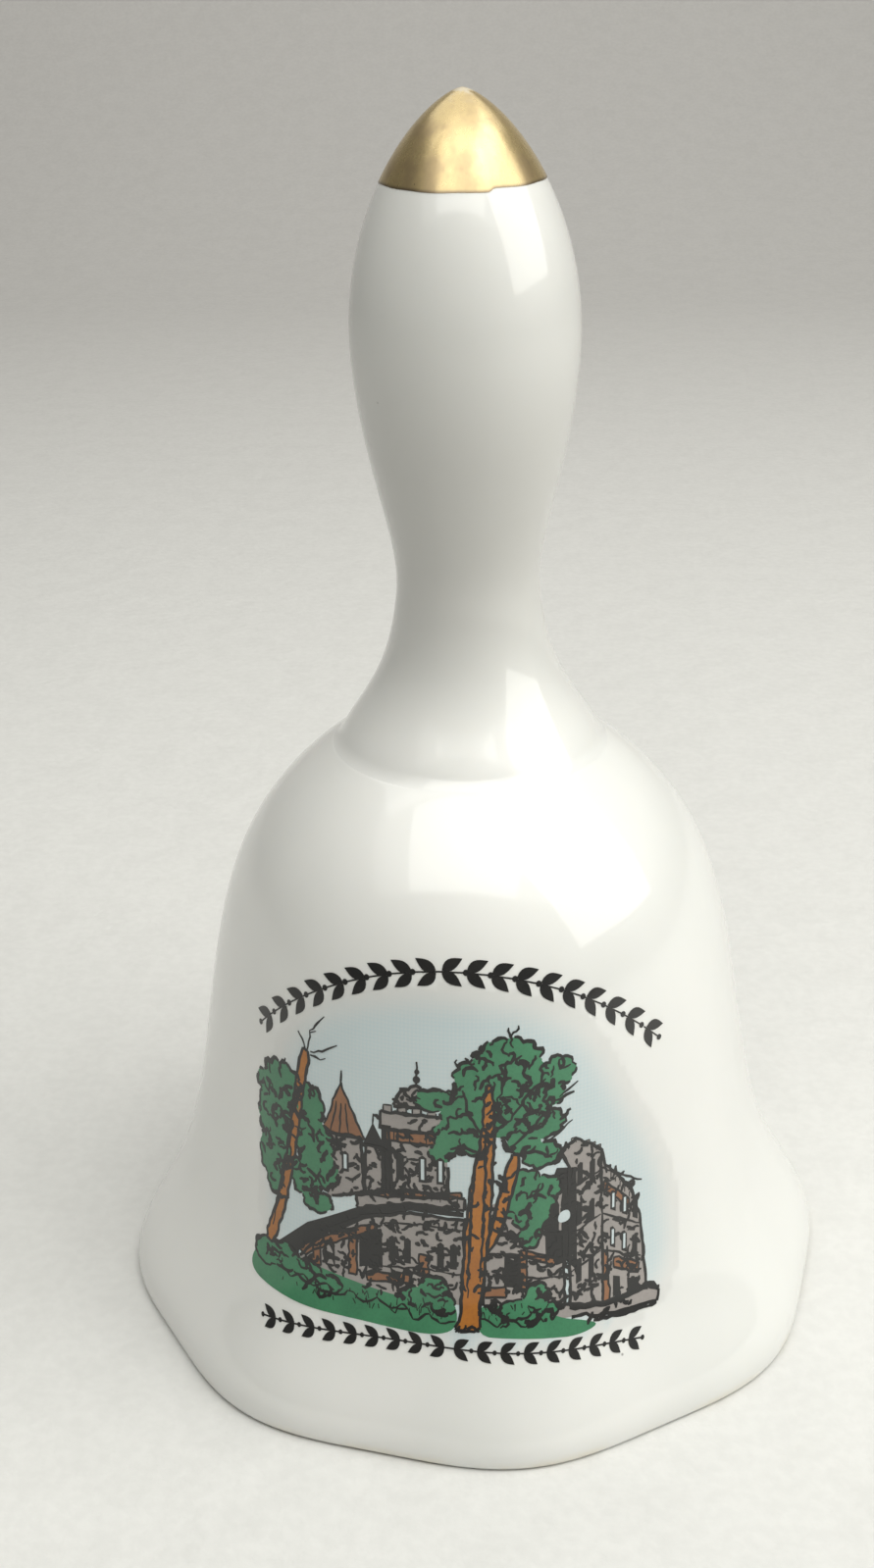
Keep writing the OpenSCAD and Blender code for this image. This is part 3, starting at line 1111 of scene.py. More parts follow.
@dataclass
class Transfer:
    """The fired transfer: a pale sky, a castle among trees and two leaf garlands, without lettering."""

    shape: BellShape
    finishes: Finishes
    seed: int = 11
    cell: float = 1.3
    roughness: float = 1.35
    screen_pitch: float = 0.55
    sunk: float = 0.02
    sky_film: float = 0.006
    sky_middle: Point = (1.5, 29.5)
    sky_half: Point = (26.5, 19.5)
    fade: float = 3.6
    fade_out: float = 0.6
    drawing: Drawing = field(init=False)

    def __post_init__(self) -> None:
        """Starts the drawing."""
        self.drawing = Drawing(self.seed)

    def _trees(self) -> None:
        """Two tall trees in front: their trunks, then their clumps of leaves."""
        d = self.drawing
        left_trunk = [
            (-21.0, 17.2), (-19.4, 21.0), (-18.2, 26.0), (-17.3, 31.0), (-16.5, 36.0), (-15.9, 39.0),
            (-14.8, 38.8), (-15.4, 36.0), (-16.2, 31.0), (-17.0, 26.0), (-18.2, 21.0), (-19.5, 17.2),
        ]
        main_trunk = [
            (0.4, 12.8), (1.2, 14.2), (1.3, 18.0), (1.5, 23.0), (2.2, 28.0), (3.1, 32.5), (3.5, 38.2),
            (4.2, 38.2), (4.4, 33.0), (4.2, 29.0), (4.0, 24.0), (3.5, 19.0), (3.0, 14.4), (3.3, 12.9),
        ]
        limb = [(3.4, 20.4), (4.6, 25.5), (5.9, 31.0), (7.0, 30.9), (6.0, 26.2), (4.7, 21.8)]
        for trunk in (left_trunk, main_trunk, limb):
            outline = rounded(trunk, 1)
            d.patch(Ink.BARK, outline)
            d.ring(outline, 0.34)
            d.covers.append(outline)
        for low, high, bow in (((1.9, 13.6), (2.6, 31.0), -0.25), ((2.7, 14.0), (3.5, 33.0), 0.2),
                               ((-19.9, 18.4), (-16.4, 34.0), 0.12), ((4.4, 24.2), (5.8, 30.6), 0.05)):
            for _ in range(4):
                a, b = sorted((d.dice.random(), d.dice.random()))
                run = []
                for t in spread(a, min(1.0, b + 0.2), 8):
                    x, z = between(low, high, t)
                    run.append((x + bow * math.sin(math.pi * t), z))
                d.stroke(run, 0.26, 0.08)
        d.specks(main_trunk, 0.7, 3.0, behind=False)
        d.specks(left_trunk, 0.4, 2.5, behind=False)
        for clumps in ([
            (-18.6, 34.6, 2.9, 2.0), (-21.2, 33.4, 1.6, 1.3), (-20.6, 30.4, 1.9, 3.0),
            (-18.9, 31.0, 1.9, 2.4),
            (-20.6, 26.4, 1.6, 2.6), (-19.6, 23.8, 1.2, 1.6), (-18.6, 27.6, 1.3, 2.6),
        ], [
            (-14.8, 33.2, 1.7, 2.4), (-14.4, 29.6, 2.4, 2.4), (-13.4, 26.9, 1.9, 2.0),
            (-15.4, 25.6, 2.0, 2.2),
            (-14.0, 23.4, 1.8, 1.2), (-16.2, 30.8, 1.3, 2.0),
        ], [
            (5.6, 40.6, 3.5, 2.3), (2.6, 38.9, 2.3, 2.0), (7.9, 38.2, 2.3, 2.2), (5.2, 37.4, 3.2, 2.4),
            (1.4, 35.8, 2.6, 2.2), (4.4, 34.6, 2.8, 2.0), (-1.6, 36.4, 2.0, 1.2), (0.4, 32.8, 2.1, 1.9),
            (2.6, 32.4, 1.4, 1.6), (-0.9, 30.9, 1.2, 1.0), (7.4, 34.9, 2.4, 1.9),
        ], [
            (10.7, 38.9, 1.9, 1.6), (9.8, 36.6, 1.6, 1.3), (9.2, 33.8, 2.3, 1.6), (7.2, 32.2, 1.7, 1.6),
            (9.0, 30.6, 2.0, 1.4),
        ], [
            (7.3, 27.6, 2.0, 1.6), (9.4, 26.6, 1.7, 1.7), (8.1, 24.6, 2.0, 2.2), (6.6, 25.4, 1.5, 1.4),
            (7.9, 22.2, 1.2, 1.4),
        ]):
            d.foliage(clumps)
        for run in (
            [(3.8, 33.0), (6.0, 34.6), (7.4, 36.9), (9.3, 38.4)], [(3.7, 35.0), (5.0, 37.4), (5.4, 40.4)],
            [(3.2, 33.2), (1.8, 35.4), (1.4, 37.8)], [(5.9, 31.6), (7.9, 33.4), (10.4, 36.0), (12.4, 36.4)],
            [(6.0, 30.8), (8.4, 31.0), (10.0, 30.2)], [(3.0, 31.2), (1.4, 32.0), (0.0, 31.4)],
        ):
            d.stroke(run, 0.34, 0.08)
        for run in (
            [(-15.1, 38.8), (-14.8, 41.0), (-13.2, 42.9)], [(-15.3, 38.8), (-15.7, 40.0), (-16.4, 40.6)],
            [(-14.8, 38.9), (-13.2, 39.4), (-11.6, 40.4)], [(-14.7, 38.6), (-13.4, 38.4), (-12.8, 38.8)],
            [(-14.7, 40.8), (-14.0, 41.2)], [(10.8, 36.2), (12.8, 37.4)], [(9.8, 31.8), (12.2, 33.6)],
        ):
            d.stroke(run, 0.2, 0.07)

    def _wall(self, outline: Sequence[Point], density: float = 1.15, lean: float = 0.0) -> None:
        """A stone wall with its outline and its marks."""
        self.drawing.patch(Ink.STONE, outline)
        self.drawing.specks(outline, density * self.roughness, lean)
        self.drawing.ring(outline, 0.36, behind=True)

    def _accent(self, outline: Sequence[Point]) -> None:
        """A brick band, post or roof with its outline."""
        self.drawing.patch(Ink.BRICK, outline)
        self.drawing.ring(outline, 0.23, behind=True)

    def _shadow(self, outline: Sequence[Point]) -> None:
        """A deep shadow that trees may stand in front of."""
        self.drawing.patch(Ink.BLACK, outline, -0.026)

    def _towers(self) -> None:
        """The round keep with its cap, and the two turrets to its left."""
        d = self.drawing
        self._wall([(-12.8, 24.2), (-12.7, 31.2), (-9.1, 31.4), (-8.8, 25.6)])
        self._accent([(-13.5, 31.0), (-12.4, 33.6), (-11.2, 36.7), (-10.0, 34.0), (-8.7, 31.2)])
        for x in (-12.4, -11.4, -10.4):
            d.stroke([(x, 31.4), (x + 0.55 * (-11.2 - x) + 0.1, 34.6)], 0.2, 0.04, True)
        d.stroke([(-11.2, 36.5), (-11.1, 38.0)], 0.26, 0.02)
        self._wall([(-8.7, 25.4), (-8.6, 30.6), (-6.8, 30.7), (-6.6, 26.0)], 0.9)
        self._shadow([(-9.0, 30.5), (-7.8, 33.2), (-6.5, 30.7)])
        d.stroke([(-7.8, 33.0), (-7.7, 34.2)], 0.22, 0.02, True)
        self._shadow([(-7.0, 25.6), (-6.9, 33.2), (-5.9, 33.2), (-5.7, 26.0)])
        self._wall([(-6.2, 25.8), (-6.1, 32.8), (-0.3, 33.0), (-0.1, 26.2)])
        self._accent([(-6.5, 31.6), (-6.5, 32.7), (0.0, 32.9), (0.0, 31.8)])
        self._wall([(-7.0, 32.8), (-7.0, 34.6), (0.5, 34.8), (0.5, 33.0)], 0.8)
        d.teeth((-7.0, 34.6), (0.5, 34.8), 0.85)
        self._wall([(-5.6, 35.4), (-5.0, 36.8), (-3.3, 37.8), (-1.7, 36.9), (-1.0, 35.5)], 1.4)
        d.stroke([(-3.3, 37.6), (-3.2, 40.2)], 0.28, 0.03)
        for x, z, size in ((-3.25, 38.4, 0.38), (-3.2, 39.2, 0.26)):
            d.patch(Ink.BLACK, arc((x, z), size, 0, 330, 11))
        for x in (-5.0, -2.7, -0.9):
            d.window(x, 27.6, 0.8, 2.6, lit=x > -4)
        for x in (-5.6, -4.0, -2.3, -0.8):
            d.stroke([(x, 31.7), (x, 32.7)], 0.16, 0.02, True)
        d.window(-10.8, 27.4, 0.75, 1.9)

    def _gallery(self) -> None:
        """The long curved gallery in front, with its roof, posts, openings and parapet."""
        d = self.drawing
        self._wall([
            (-16.4, 16.8), (-13.0, 20.6), (-9.0, 22.9), (-4.0, 24.2), (1.4, 24.0), (1.4, 15.3), (-6.0, 15.4),
            (-12.0, 16.2),
        ], 1.25, 0.05)
        balcony = [(-9.6, 23.7), (-4.0, 25.2), (1.5, 25.0), (1.5, 26.3), (-4.0, 26.6), (-9.6, 25.1)]
        self._wall(balcony, 0.5, 0.06)
        self._shadow([
            (-19.0, 17.5), (-15.2, 20.8), (-9.4, 23.9), (-4.0, 25.1), (1.4, 24.8), (1.4, 24.3), (-4.0, 24.4),
            (-8.9, 22.6), (-12.4, 20.3), (-15.3, 18.2), (-17.0, 17.1),
        ])
        self._accent([(-7.6, 26.0), (1.2, 26.9), (1.2, 26.3), (-7.6, 25.4)])
        for x in spread(-7.0, 0.8, 9):
            d.stroke([(x, 25.7), (x, 26.6)], 0.15, 0.02, True)
        self._accent([
            (-16.2, 17.9), (-12.8, 20.2), (-9.2, 21.9), (-7.6, 22.4), (-7.7, 21.8), (-12.4, 19.4),
            (-15.4, 17.5),
        ])
        for opening in (
            [(-9.4, 17.6), (-9.4, 21.3), (-8.4, 21.8), (-7.0, 21.9), (-6.9, 17.9)],
            [(-13.3, 17.2), (-13.3, 18.9), (-12.1, 19.6), (-12.0, 17.1)],
            [(-15.4, 17.0), (-14.9, 17.6), (-14.4, 17.9), (-14.4, 17.0)],
        ):
            self._shadow(opening)
        for x, top in ((-14.1, 18.6), (-10.1, 21.2)):
            self._accent([(x - 0.45, 16.7), (x - 0.4, top), (x + 0.4, top + 0.3), (x + 0.45, 16.8)])
        for brick in (
            [(-8.6, 16.4), (-8.6, 17.3), (-3.8, 17.8), (-3.8, 16.8)],
            [(-3.1, 17.9), (-3.1, 19.9), (-2.1, 19.9), (-2.1, 17.9)],
        ):
            self._accent(brick)
        for x in (-5.9, -4.3, -0.9, 0.4):
            d.window(x, 18.8, 0.7, 2.4, lit=False)
        for z in (22.6, 18.0):
            d.stroke([(-7.0, z), (-3.0, z + 0.5), (1.3, z + 0.3)], 0.22, 0.05, True)

    def _wing(self) -> None:
        """The block behind the main trunk and the tall wing at the right, on its terrace."""
        d = self.drawing
        self._wall([
            (3.4, 15.4), (3.4, 25.4), (6.8, 26.8), (11.2, 27.6), (11.6, 14.4), (9.2, 14.4), (8.0, 16.6),
            (6.0, 15.2),
        ], 1.2)
        self._shadow([(9.6, 18.6), (9.3, 25.6), (10.6, 28.8), (12.7, 28.4), (12.9, 17.6), (11.2, 19.4)])
        d.patch(Ink.PANE, rounded([(10.7, 22.9), (10.9, 24.1), (12.0, 24.2), (12.1, 23.0)]), 0.03)
        for z, far in ((20.6, 19.0), (22.8, 21.6), (18.4, 17.2)):
            d.stroke([(3.6, z), (6.5, z - 0.2), (12.6, far)], 0.26, 0.06, True)
        self._shadow([(5.4, 17.2), (5.4, 20.2), (7.0, 20.4), (7.0, 17.0)])
        for brick in (
            [(6.9, 16.8), (6.9, 20.8), (7.6, 20.7), (7.6, 16.8)],
            [(7.6, 20.7), (10.6, 19.4), (10.5, 18.7), (7.6, 20.0)],
            [(3.5, 16.2), (3.5, 17.2), (5.6, 17.1), (5.6, 16.1)],
        ):
            self._accent(brick)
        tall = [
            (12.2, 14.2), (11.9, 28.6), (11.0, 30.4), (12.7, 31.5), (14.3, 30.4), (15.6, 29.4), (15.9, 27.6),
            (17.4, 26.4), (19.2, 24.0), (20.3, 21.0), (20.8, 17.0), (21.3, 13.6), (16.2, 13.4),
        ]
        self._wall(tall, 0.95, -0.3)
        steps = (((11.2, 30.3), (12.8, 31.4)), ((13.6, 30.7), (15.5, 29.4)), ((16.1, 27.4), (20.0, 22.4)))
        for start, end in steps:
            d.teeth(start, end, 0.5)
        d.stroke([(15.5, 29.2), (15.7, 22.0), (16.0, 13.6)], 0.34, 0.06)
        for z, far in ((27.4, 24.6), (22.6, 20.2), (18.8, 16.9)):
            d.stroke([(12.2, z - 1.2), (15.6, z)], 0.24, 0.05)
            d.stroke([(15.8, z), (20.4, far)], 0.24, 0.05)
        for x in (17.0, 18.4, 19.7):
            for z in (23.2, 19.4):
                d.window(x, z - (x - 16) * 0.62, 0.62, 1.9, -0.6, lit=x < 19)
        for x in (13.1, 14.5):
            for z in (26.4, 22.2, 16.4):
                d.window(x, z, 0.6, 2.2, 0.3, lit=False)
        for brick in (
            [(15.9, 26.0), (18.9, 23.2), (18.9, 22.4), (15.9, 25.0)],
            [(17.2, 17.7), (20.3, 16.3), (20.2, 15.3), (17.2, 16.7)],
            [(15.9, 13.7), (15.8, 18.6), (16.4, 18.5), (16.7, 13.7)],
        ):
            self._accent(brick)
        for opening in (
            [(17.1, 13.9), (17.1, 15.9), (17.9, 15.6), (18.0, 13.9)],
            [(18.9, 13.8), (18.8, 15.2), (19.9, 14.8), (20.2, 13.6)],
        ):
            d.patch(Ink.BLACK, opening)
        self._wall([
            (8.8, 15.2), (9.7, 13.5), (14.0, 13.2), (15.2, 12.6), (22.5, 12.0), (22.8, 12.9), (21.2, 13.8),
            (16.0, 13.7), (11.0, 14.8),
        ], 0.9, -0.1)
        d.stroke([(14.9, 12.4), (18.6, 12.0), (22.5, 11.8)], 0.42, 0.05)
        d.stroke([(20.9, 14.1), (22.0, 13.6), (22.9, 13.1)], 0.4, 0.05)

    def _lawn(self) -> None:
        """The lawn and the bushes along it."""
        d = self.drawing
        left = rounded([
            (-23.0, 14.3), (-22.4, 13.3), (-19.8, 12.9), (-15.5, 12.5), (-10.0, 12.5), (-5.0, 12.2),
            (-1.4, 12.2),
            (0.7, 12.9), (0.9, 14.6), (0.2, 15.8), (-2.0, 15.5), (-4.0, 15.2), (-8.0, 15.7), (-12.0, 16.4),
            (-15.0, 16.8), (-18.0, 17.2), (-20.5, 17.1), (-22.0, 15.9),
        ])
        right = rounded([
            (3.0, 15.4), (2.8, 12.5), (6.0, 12.3), (10.0, 11.9), (13.0, 11.5), (15.6, 11.9), (13.8, 12.7),
            (11.4, 13.4), (9.8, 14.3), (7.2, 15.6), (4.5, 15.3),
        ])
        for lawn in (left, right):
            d.patch(Ink.GREEN, lawn)
            d.covers.append(lawn)
        for bush in (
            [
                (-20.6, 16.0, 1.9, 1.3), (-18.0, 16.4, 2.0, 1.3), (-15.2, 15.9, 1.8, 1.1),
                (-12.8, 15.2, 1.6, 0.9),
            ],
            [(-3.4, 15.6, 1.7, 1.0), (-1.6, 16.7, 1.6, 1.2), (-0.6, 15.2, 1.3, 1.1)],
            [(8.7, 15.9, 1.4, 1.4), (6.6, 14.9, 1.8, 1.0), (9.8, 14.4, 1.1, 0.9)],
        ):
            d.foliage(bush, 2.6)
        rows = ((-18.5, -12.0, 15.2), (-12.0, -4.0, 14.7), (-6.0, 0.4, 13.9), (3.2, 9.5, 13.8))
        for start, end, base in rows:
            run = [(x, base + 0.35 * math.sin(2.3 * x) - 0.05 * (x - start)) for x in spread(start, end, 16)]
            d.stroke(run, 0.26, 0.1)
        for _ in range(60):
            x = d.dice.choice((d.dice.uniform(-19, 0), d.dice.uniform(-9, 0), d.dice.uniform(3.2, 10)))
            z = d.dice.uniform(13.7, 15.1)
            d.stroke([(x, z), (x + d.dice.uniform(-0.3, 0.3), z + d.dice.uniform(0.3, 0.7))], 0.2, 0.03)

    def _garland(self, start: float, end: float, height: Callable[[float], float], count: int,
                 size: float) -> list[list[Point]]:
        """A garland of paired leaves and berries along a curve.

        Args:
            start: Where it starts, across.
            end: Where it ends.
            height: Its height at each place across.
            count: The number of leaf pairs.
            size: The length of a leaf, in mm.

        Returns:
            Its outlines.
        """
        marks = []
        for i in range(count):
            x = start + (end - start) * (i + 0.5) / count
            turn = math.atan(slope_of(height, x, 0.05))
            along, over = (math.cos(turn), math.sin(turn)), (-math.sin(turn), math.cos(turn))
            base = (x, height(x))

            def at(u: float, v: float) -> Point:
                """A point along and above the garland."""
                return base[0] + u * along[0] + v * over[0], base[1] + u * along[1] + v * over[1]

            side = -1 if x < (start + end) / 2 else 1
            for flip in (-1, 1):
                tip, root = (side * size * 0.42, flip * size * 0.5), (-side * size * 0.36, flip * size * 0.05)
                leaf = []
                for low, high, steps, belly in ((0, 1, 7, 0.27), (0.875, 0.125, 6, -0.20)):
                    leaf += [(t, belly * math.sin(math.pi * t ** 0.8)) for t in spread(low, high, steps)]
                dx, dy = tip[0] - root[0], tip[1] - root[1]
                marks.append([at(root[0] + dx * t - dy * w, root[1] + dy * t + dx * w) for t, w in leaf])
            berry = size * 0.115
            marks.append([at(side * size * 0.56 + u, v) for u, v in arc((0, 0), berry, 0, 330, 11)])
            gap = (end - start) / count * 0.52
            marks.append([at(u, v) for u, v in upright(-gap, gap, -0.07, 0.07)])
        return marks

    def _thicken(self, bm: bmesh.types.BMesh, top: Callable[[bmesh.types.BMVert], float]) -> None:
        """Lays flat faces on the wall and gives them their thickness.

        Args:
            bm: The flat faces, in mm across and up.
            top: Height of the film above the glaze at a vertex, in mm.
        """
        copied = bmesh.ops.extrude_face_region(bm, geom=bm.faces[:], use_keep_orig=True)
        raised = {item for item in copied["geom"] if isinstance(item, bmesh.types.BMVert)}
        for vert in bm.verts:
            out = top(vert) if vert in raised else -self.sunk
            vert.co = self.shape.wall_point(vert.co.x, vert.co.y, out)
        bmesh.ops.recalc_face_normals(bm, faces=bm.faces)

    def _wrap(self, name: str, marks: Iterable[tuple[list[Point], float]], top: float) -> bpy.types.Object:
        """Cuts flat marks into small cells, lays them on the wall and gives them their thickness.

        Args:
            name: The piece's name.
            marks: Outlines, each with its lift.
            top: Height of the film above the glaze, in mm.

        Returns:
            The piece, one closed film per mark.
        """
        bm = bmesh.new()
        lift = bm.verts.layers.float.new("lift")
        for outline, extra in marks:
            verts = [bm.verts.new((x, z, 0)) for x, z in outline]
            for vert in verts:
                vert[lift] = extra
            bm.faces.new(verts)
        bmesh.ops.triangulate(bm, faces=bm.faces)
        for axis in (0, 1):
            low = min(vert.co[axis] for vert in bm.verts)
            high = max(vert.co[axis] for vert in bm.verts)
            for k in range(math.ceil(low / self.cell), math.floor(high / self.cell) + 1):
                spot, facing = [0.0, 0.0, 0.0], [0.0, 0.0, 0.0]
                spot[axis], facing[axis] = k * self.cell, 1.0
                geometry = bm.verts[:] + bm.edges[:] + bm.faces[:]
                bmesh.ops.bisect_plane(bm, geom=geometry, dist=1e-5, plane_co=spot, plane_no=facing)
        bmesh.ops.triangulate(bm, faces=bm.faces)
        self._thicken(bm, lambda vert: top + vert[lift])
        return add_piece(name, bm, FILM_SHARP)

    def build_sky(self) -> bpy.types.Object:
        """Makes the pale sky, whose tint fades into the glaze at its edges.

        Returns:
            The piece.
        """
        halo = rounded([
            (-21.5, 20.0), (-21.0, 30.0), (-18.5, 39.0), (-13.0, 44.6), (-5.0, 46.8), (3.0, 47.0),
            (9.5, 45.4),
            (14.5, 41.6), (17.6, 35.6), (21.8, 28.8), (24.4, 22.0), (24.8, 15.0), (21.0, 11.0), (-18.0, 12.0),
        ], 3)
        bm = bmesh.new()
        made = bmesh.ops.create_grid(bm, x_segments=60, y_segments=48, size=1.0)
        (middle_x, middle_z), (half_x, half_z) = self.sky_middle, self.sky_half
        for vert in made["verts"]:
            vert.co = Vector((middle_x + vert.co.x * half_x, middle_z + vert.co.y * half_z, 0))
        layer = bm.verts.layers.float.new("tint")
        rising, falling = (bm.verts.layers.float.new(name) for name in ("screen_a", "screen_b"))
        turns = math.tau / (self.screen_pitch * math.sqrt(2))
        for vert in bm.verts:
            vert[rising], vert[falling] = (vert.co.x + vert.co.y) * turns, (vert.co.x - vert.co.y) * turns
            spot = (vert.co.x, vert.co.y)
            away = min(math.dist(spot, point) for point in halo)
            depth = away if inside(spot, halo) else -away
            share = min(1.0, max(0.0, (depth + self.fade_out) / self.fade))
            vert[layer] = share * share * (3 - 2 * share)
        bare = [face for face in bm.faces if all(vert[layer] <= 0 for vert in face.verts)]
        bmesh.ops.delete(bm, geom=bare, context="FACES")
        self._thicken(bm, lambda vert: self.sky_film)
        piece = add_piece("sky_tint_film", bm, FILM_SHARP)
        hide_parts("sky_tint")
        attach(piece, "bell")
        self.finishes.dress(piece, Finish.SKY)
        return piece

    def build(self) -> list[bpy.types.Object]:
        """Draws the picture and makes one piece per ink, the sky and both garlands.

        Returns:
            The pieces.
        """
        for part in (self._trees, self._lawn, self._gallery, self._towers, self._wing):
            part()
        pieces = [self.build_sky()]
        for ink in Ink:
            finish, top = ink.value
            piece = self._wrap(f"{ink.name.lower()}_ink_film", self.drawing.marks[ink], top)
            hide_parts("picture_print")
            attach(piece, "bell")
            self.finishes.dress(piece, finish)
            pieces.append(piece)
        upper = self._garland(-22.4, 22.6, lambda x: 38.9 + 10.2 * (1 - (x / 22.6) ** 2), 19, 2.5)
        lower = self._garland(-20.6, 20.8, lambda x: 9.7 + 1.5 * (1 - (x / 20.8) ** 2) - 0.02 * x, 18, 1.9)
        for name, marks in (("upper_border", upper), ("lower_border", lower)):
            piece = self._wrap(f"{name}_garland", [(mark, 0.0) for mark in marks], Ink.BLACK.value[1])
            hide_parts(name)
            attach(piece, "bell")
            self.finishes.dress(piece, Finish.BLACK)
            pieces.append(piece)
        return pieces


# ---- The clapper ----

@dataclass
class Clapper:
    """The plaster plug, the wire staple and link, and the bead on its pin."""

    finishes: Finishes
    eye_height: float = 4.8
    shank: float = 1.0
    wrap_wire: float = 0.7
    wrap_turns: float = 2.6
    wrap_pitch: float = 0.76
    wrap_gap: float = 0.15
    bite: float = 0.02
    steps: int = 72
    sides: int = 12

    def build_wrap(self) -> bpy.types.Object:
        """Coils the loose end of the pin's wire round its shank, just under the eye.

        Returns:
            The coil.
        """
        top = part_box("clapper_pin")[1].z / MM - self.eye_height - self.wrap_gap
        coil = (self.shank + self.wrap_wire) / 2 - self.bite
        drop = self.wrap_pitch * self.wrap_turns
        bm = bmesh.new()
        rings = []
        for t in spread(0, 1, self.steps):
            angle = math.tau * self.wrap_turns * t
            out = Vector((math.cos(angle), math.sin(angle), 0))
            along = Vector((-out.y, out.x, -self.wrap_pitch / (math.tau * coil))).normalized()
            over = along.cross(out)
            centre = out * coil + Vector((0, 0, top - drop * t))
            ring = []
            for u, v in arc((0, 0), self.wrap_wire / 2, 0, 360, self.sides)[:-1]:
                ring.append(bm.verts.new((centre + out * u + over * v) * MM))
            rings.append(ring)
        for ring in (rings[0], rings[-1]):
            bm.faces.new(ring)
        for first, second in zip(rings, rings[1:]):
            for k in range(self.sides):
                after = (k + 1) % self.sides
                bm.faces.new((first[k], first[after], second[after], second[k]))
        bmesh.ops.recalc_face_normals(bm, faces=bm.faces)
        piece = add_piece("pin_wire_wrap", bm, FILM_SHARP)
        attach(piece, "clapper")
        self.finishes.dress(piece, Finish.WIRE)
        return piece

    def build(self) -> list[bpy.types.Object]:
        """Dresses the pieces that hang inside the bell and adds the pin's coil.

        Returns:
            The pieces.
        """
        finishes = {
            "crown_plug": Finish.PLASTER,
            "hanger_staple": Finish.WIRE,
            "clapper_link": Finish.WIRE,
            "clapper_pin": Finish.WIRE,
            "clapper_bead": Finish.BEAD,
        }
        pieces = [self.build_wrap()]
        for node, finish in finishes.items():
            piece = frame["nodes"][node]
            self.finishes.dress(piece, finish)
            pieces.append(piece)
        return pieces


# ---- Studio ----

@dataclass
class Lamp:
    """A soft rectangular lamp, placed by the angles and the distance at which its target sees it."""

    name: str
    azimuth: float
    elevation: float
    distance: float
    width: float
    height: float
    power: float
    target: Vector
    colour: Colour = (1.0, 0.995, 0.945)

    def build(self) -> None:
        """Places the lamp and aims it."""
        turn, rise = math.radians(self.azimuth), math.radians(self.elevation)
        way = Vector((math.sin(turn) * math.cos(rise), -math.cos(turn) * math.cos(rise), math.sin(rise)))
        data = bpy.data.lights.new(self.name, "AREA")
        data.shape = "RECTANGLE"
        data.size = self.width
        data.size_y = self.height
        data.energy = self.power
        data.color = self.colour
        lamp = bpy.data.objects.new(self.name, data)
        lamp.location = self.target + way * self.distance
        lamp.rotation_euler = way.to_track_quat("Z", "Y").to_euler()
        bpy.context.scene.collection.objects.link(lamp)


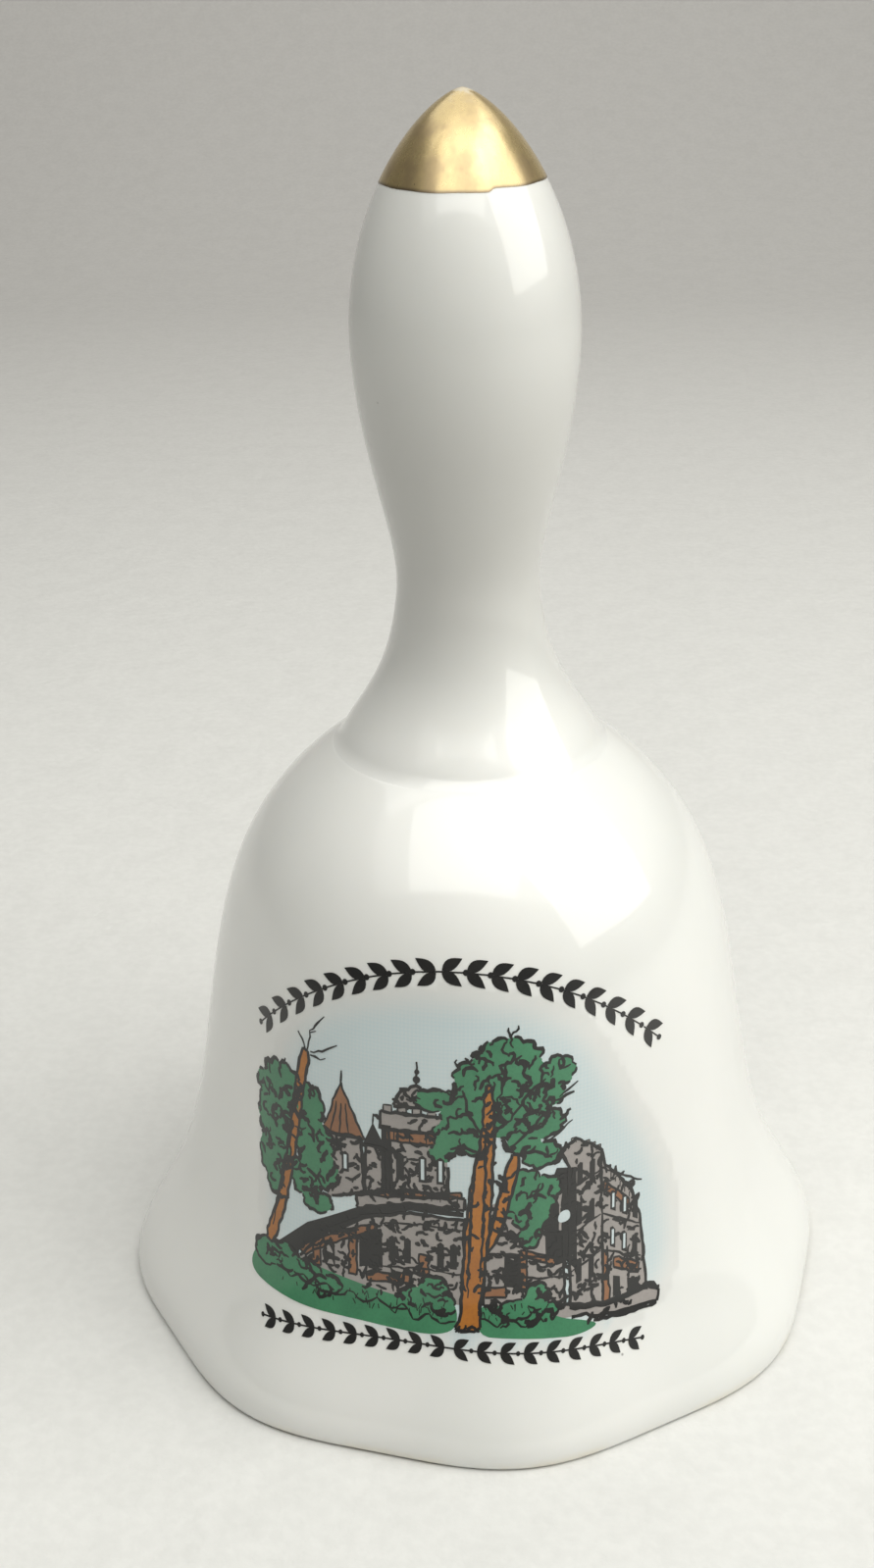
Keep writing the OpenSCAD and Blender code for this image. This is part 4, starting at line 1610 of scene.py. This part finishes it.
@dataclass
class Studio:
    """Floor, backdrop, lamps and camera."""

    shape: BellShape
    camera_turn: float = math.radians(5.0)
    camera_away: float = 0.19079
    camera_up: float = 0.14441
    camera_pitch: float = 0.4275
    camera_yaw: float = -0.0186
    camera_roll: float = -0.0201
    lens: float = 45.785
    sensor: float = 36.0
    floor_front: float = -1.2
    floor_back: float = 0.55
    floor_bend: float = 0.35
    backdrop_top: Point = (1.05, 1.6)
    floor_side: float = 1.6
    room_light: float = 0.012

    def build_camera(self) -> None:
        """Sets the camera at the viewing angle."""
        pitch, yaw, roll = self.camera_pitch, self.camera_yaw, self.camera_roll
        ahead = Vector((math.sin(yaw) * math.cos(pitch), math.cos(yaw) * math.cos(pitch), -math.sin(pitch)))
        right = ahead.cross(Vector((0, 0, 1))).normalized()
        up = right.cross(ahead)
        rolled_right = math.cos(roll) * right + math.sin(roll) * up
        rolled_up = math.cos(roll) * up - math.sin(roll) * right
        turn = Matrix.Rotation(self.camera_turn, 4, "Z")
        facing = Matrix((rolled_right, rolled_up, -ahead)).transposed().to_4x4()
        data = bpy.data.cameras.new("camera")
        data.lens = self.lens
        data.sensor_width = self.sensor
        data.clip_start = 0.01
        camera = bpy.data.objects.new("camera", data)
        camera.matrix_world = turn @ Matrix.Translation((0, -self.camera_away, self.camera_up)) @ facing
        bpy.context.scene.collection.objects.link(camera)
        bpy.context.scene.camera = camera

    def build_floor(self) -> None:
        """Lays the floor and curves it up behind into a backdrop."""
        bm = bmesh.new()
        profile = [(self.floor_front, 0.0), (self.floor_back, 0.0)]
        for a in map(math.radians, spread(0, 80, 16)[1:]):
            along, up = self.floor_bend * math.sin(a), self.floor_bend * (1 - math.cos(a))
            profile.append((self.floor_back + along, up))
        profile.append(self.backdrop_top)
        verts = [bm.verts.new((-self.floor_side, y, z)) for y, z in profile]
        edges = [bm.edges.new(pair) for pair in zip(verts, verts[1:])]
        made = bmesh.ops.extrude_edge_only(bm, edges=edges)
        moved = [item for item in made["geom"] if isinstance(item, bmesh.types.BMVert)]
        bmesh.ops.translate(bm, verts=moved, vec=(2 * self.floor_side, 0, 0))
        turn = Matrix.Rotation(self.camera_turn, 3, "Z")
        bmesh.ops.rotate(bm, verts=bm.verts, cent=(0, 0, 0), matrix=turn)
        bmesh.ops.recalc_face_normals(bm, faces=bm.faces)
        floor = add_piece("floor", bm)
        floor.data.materials.append(PaperFloor().build())

    def build_lights(self) -> None:
        """Hangs the soft lamps and sets the even light of the room."""
        target, backdrop = Vector((0, 0, self.shape.seat_z * MM)), Vector((0, 0.9, 0.16))
        for lamp in (
            Lamp("window_lamp", 77, 40, 0.55, 0.50, 0.62, 2.6, target),
            Lamp("front_lamp", 0, 61, 0.50, 0.46, 0.32, 0.95, target),
            Lamp("front_spill_lamp", 0, 64, 0.51, 0.86, 0.42, 0.9, target),
            Lamp("ceiling_lamp", 0, 106, 0.52, 0.80, 0.50, 1.7, target),
            Lamp("backdrop_lamp", 0, 50, 0.55, 1.20, 0.30, 1.25, backdrop, (1.0, 0.935, 0.88)),
        ):
            lamp.build()
        world = bpy.data.worlds.new("room")
        bpy.context.scene.world = world
        world.use_nodes = True
        background = world.node_tree.nodes["Background"]
        background.inputs[0].default_value = (1.0, 0.99, 0.95, 1.0)
        background.inputs[1].default_value = self.room_light
        bpy.context.scene.view_settings.view_transform = "Standard"

    def build(self) -> None:
        """Makes the whole studio."""
        self.build_camera()
        self.build_floor()
        self.build_lights()


def main() -> None:
    """Builds the bell in order and reports its pieces."""
    logging.basicConfig(level=logging.INFO, format="%(name)s: %(message)s")
    shape = BellShape()
    finishes = Finishes()
    Studio(shape).build()
    assemblies = [kind(shape, finishes) for kind in (Porcelain, GiltTip, Transfer)]
    pieces: list[bpy.types.Object] = []
    for assembly in [*assemblies, Clapper(finishes)]:
        pieces += assembly.build()
    for piece in pieces:
        LOG.info("%-24s %7d faces  %s", piece.name, len(piece.data.polygons), body_of(piece))


if __name__ == "__main__":
    main()
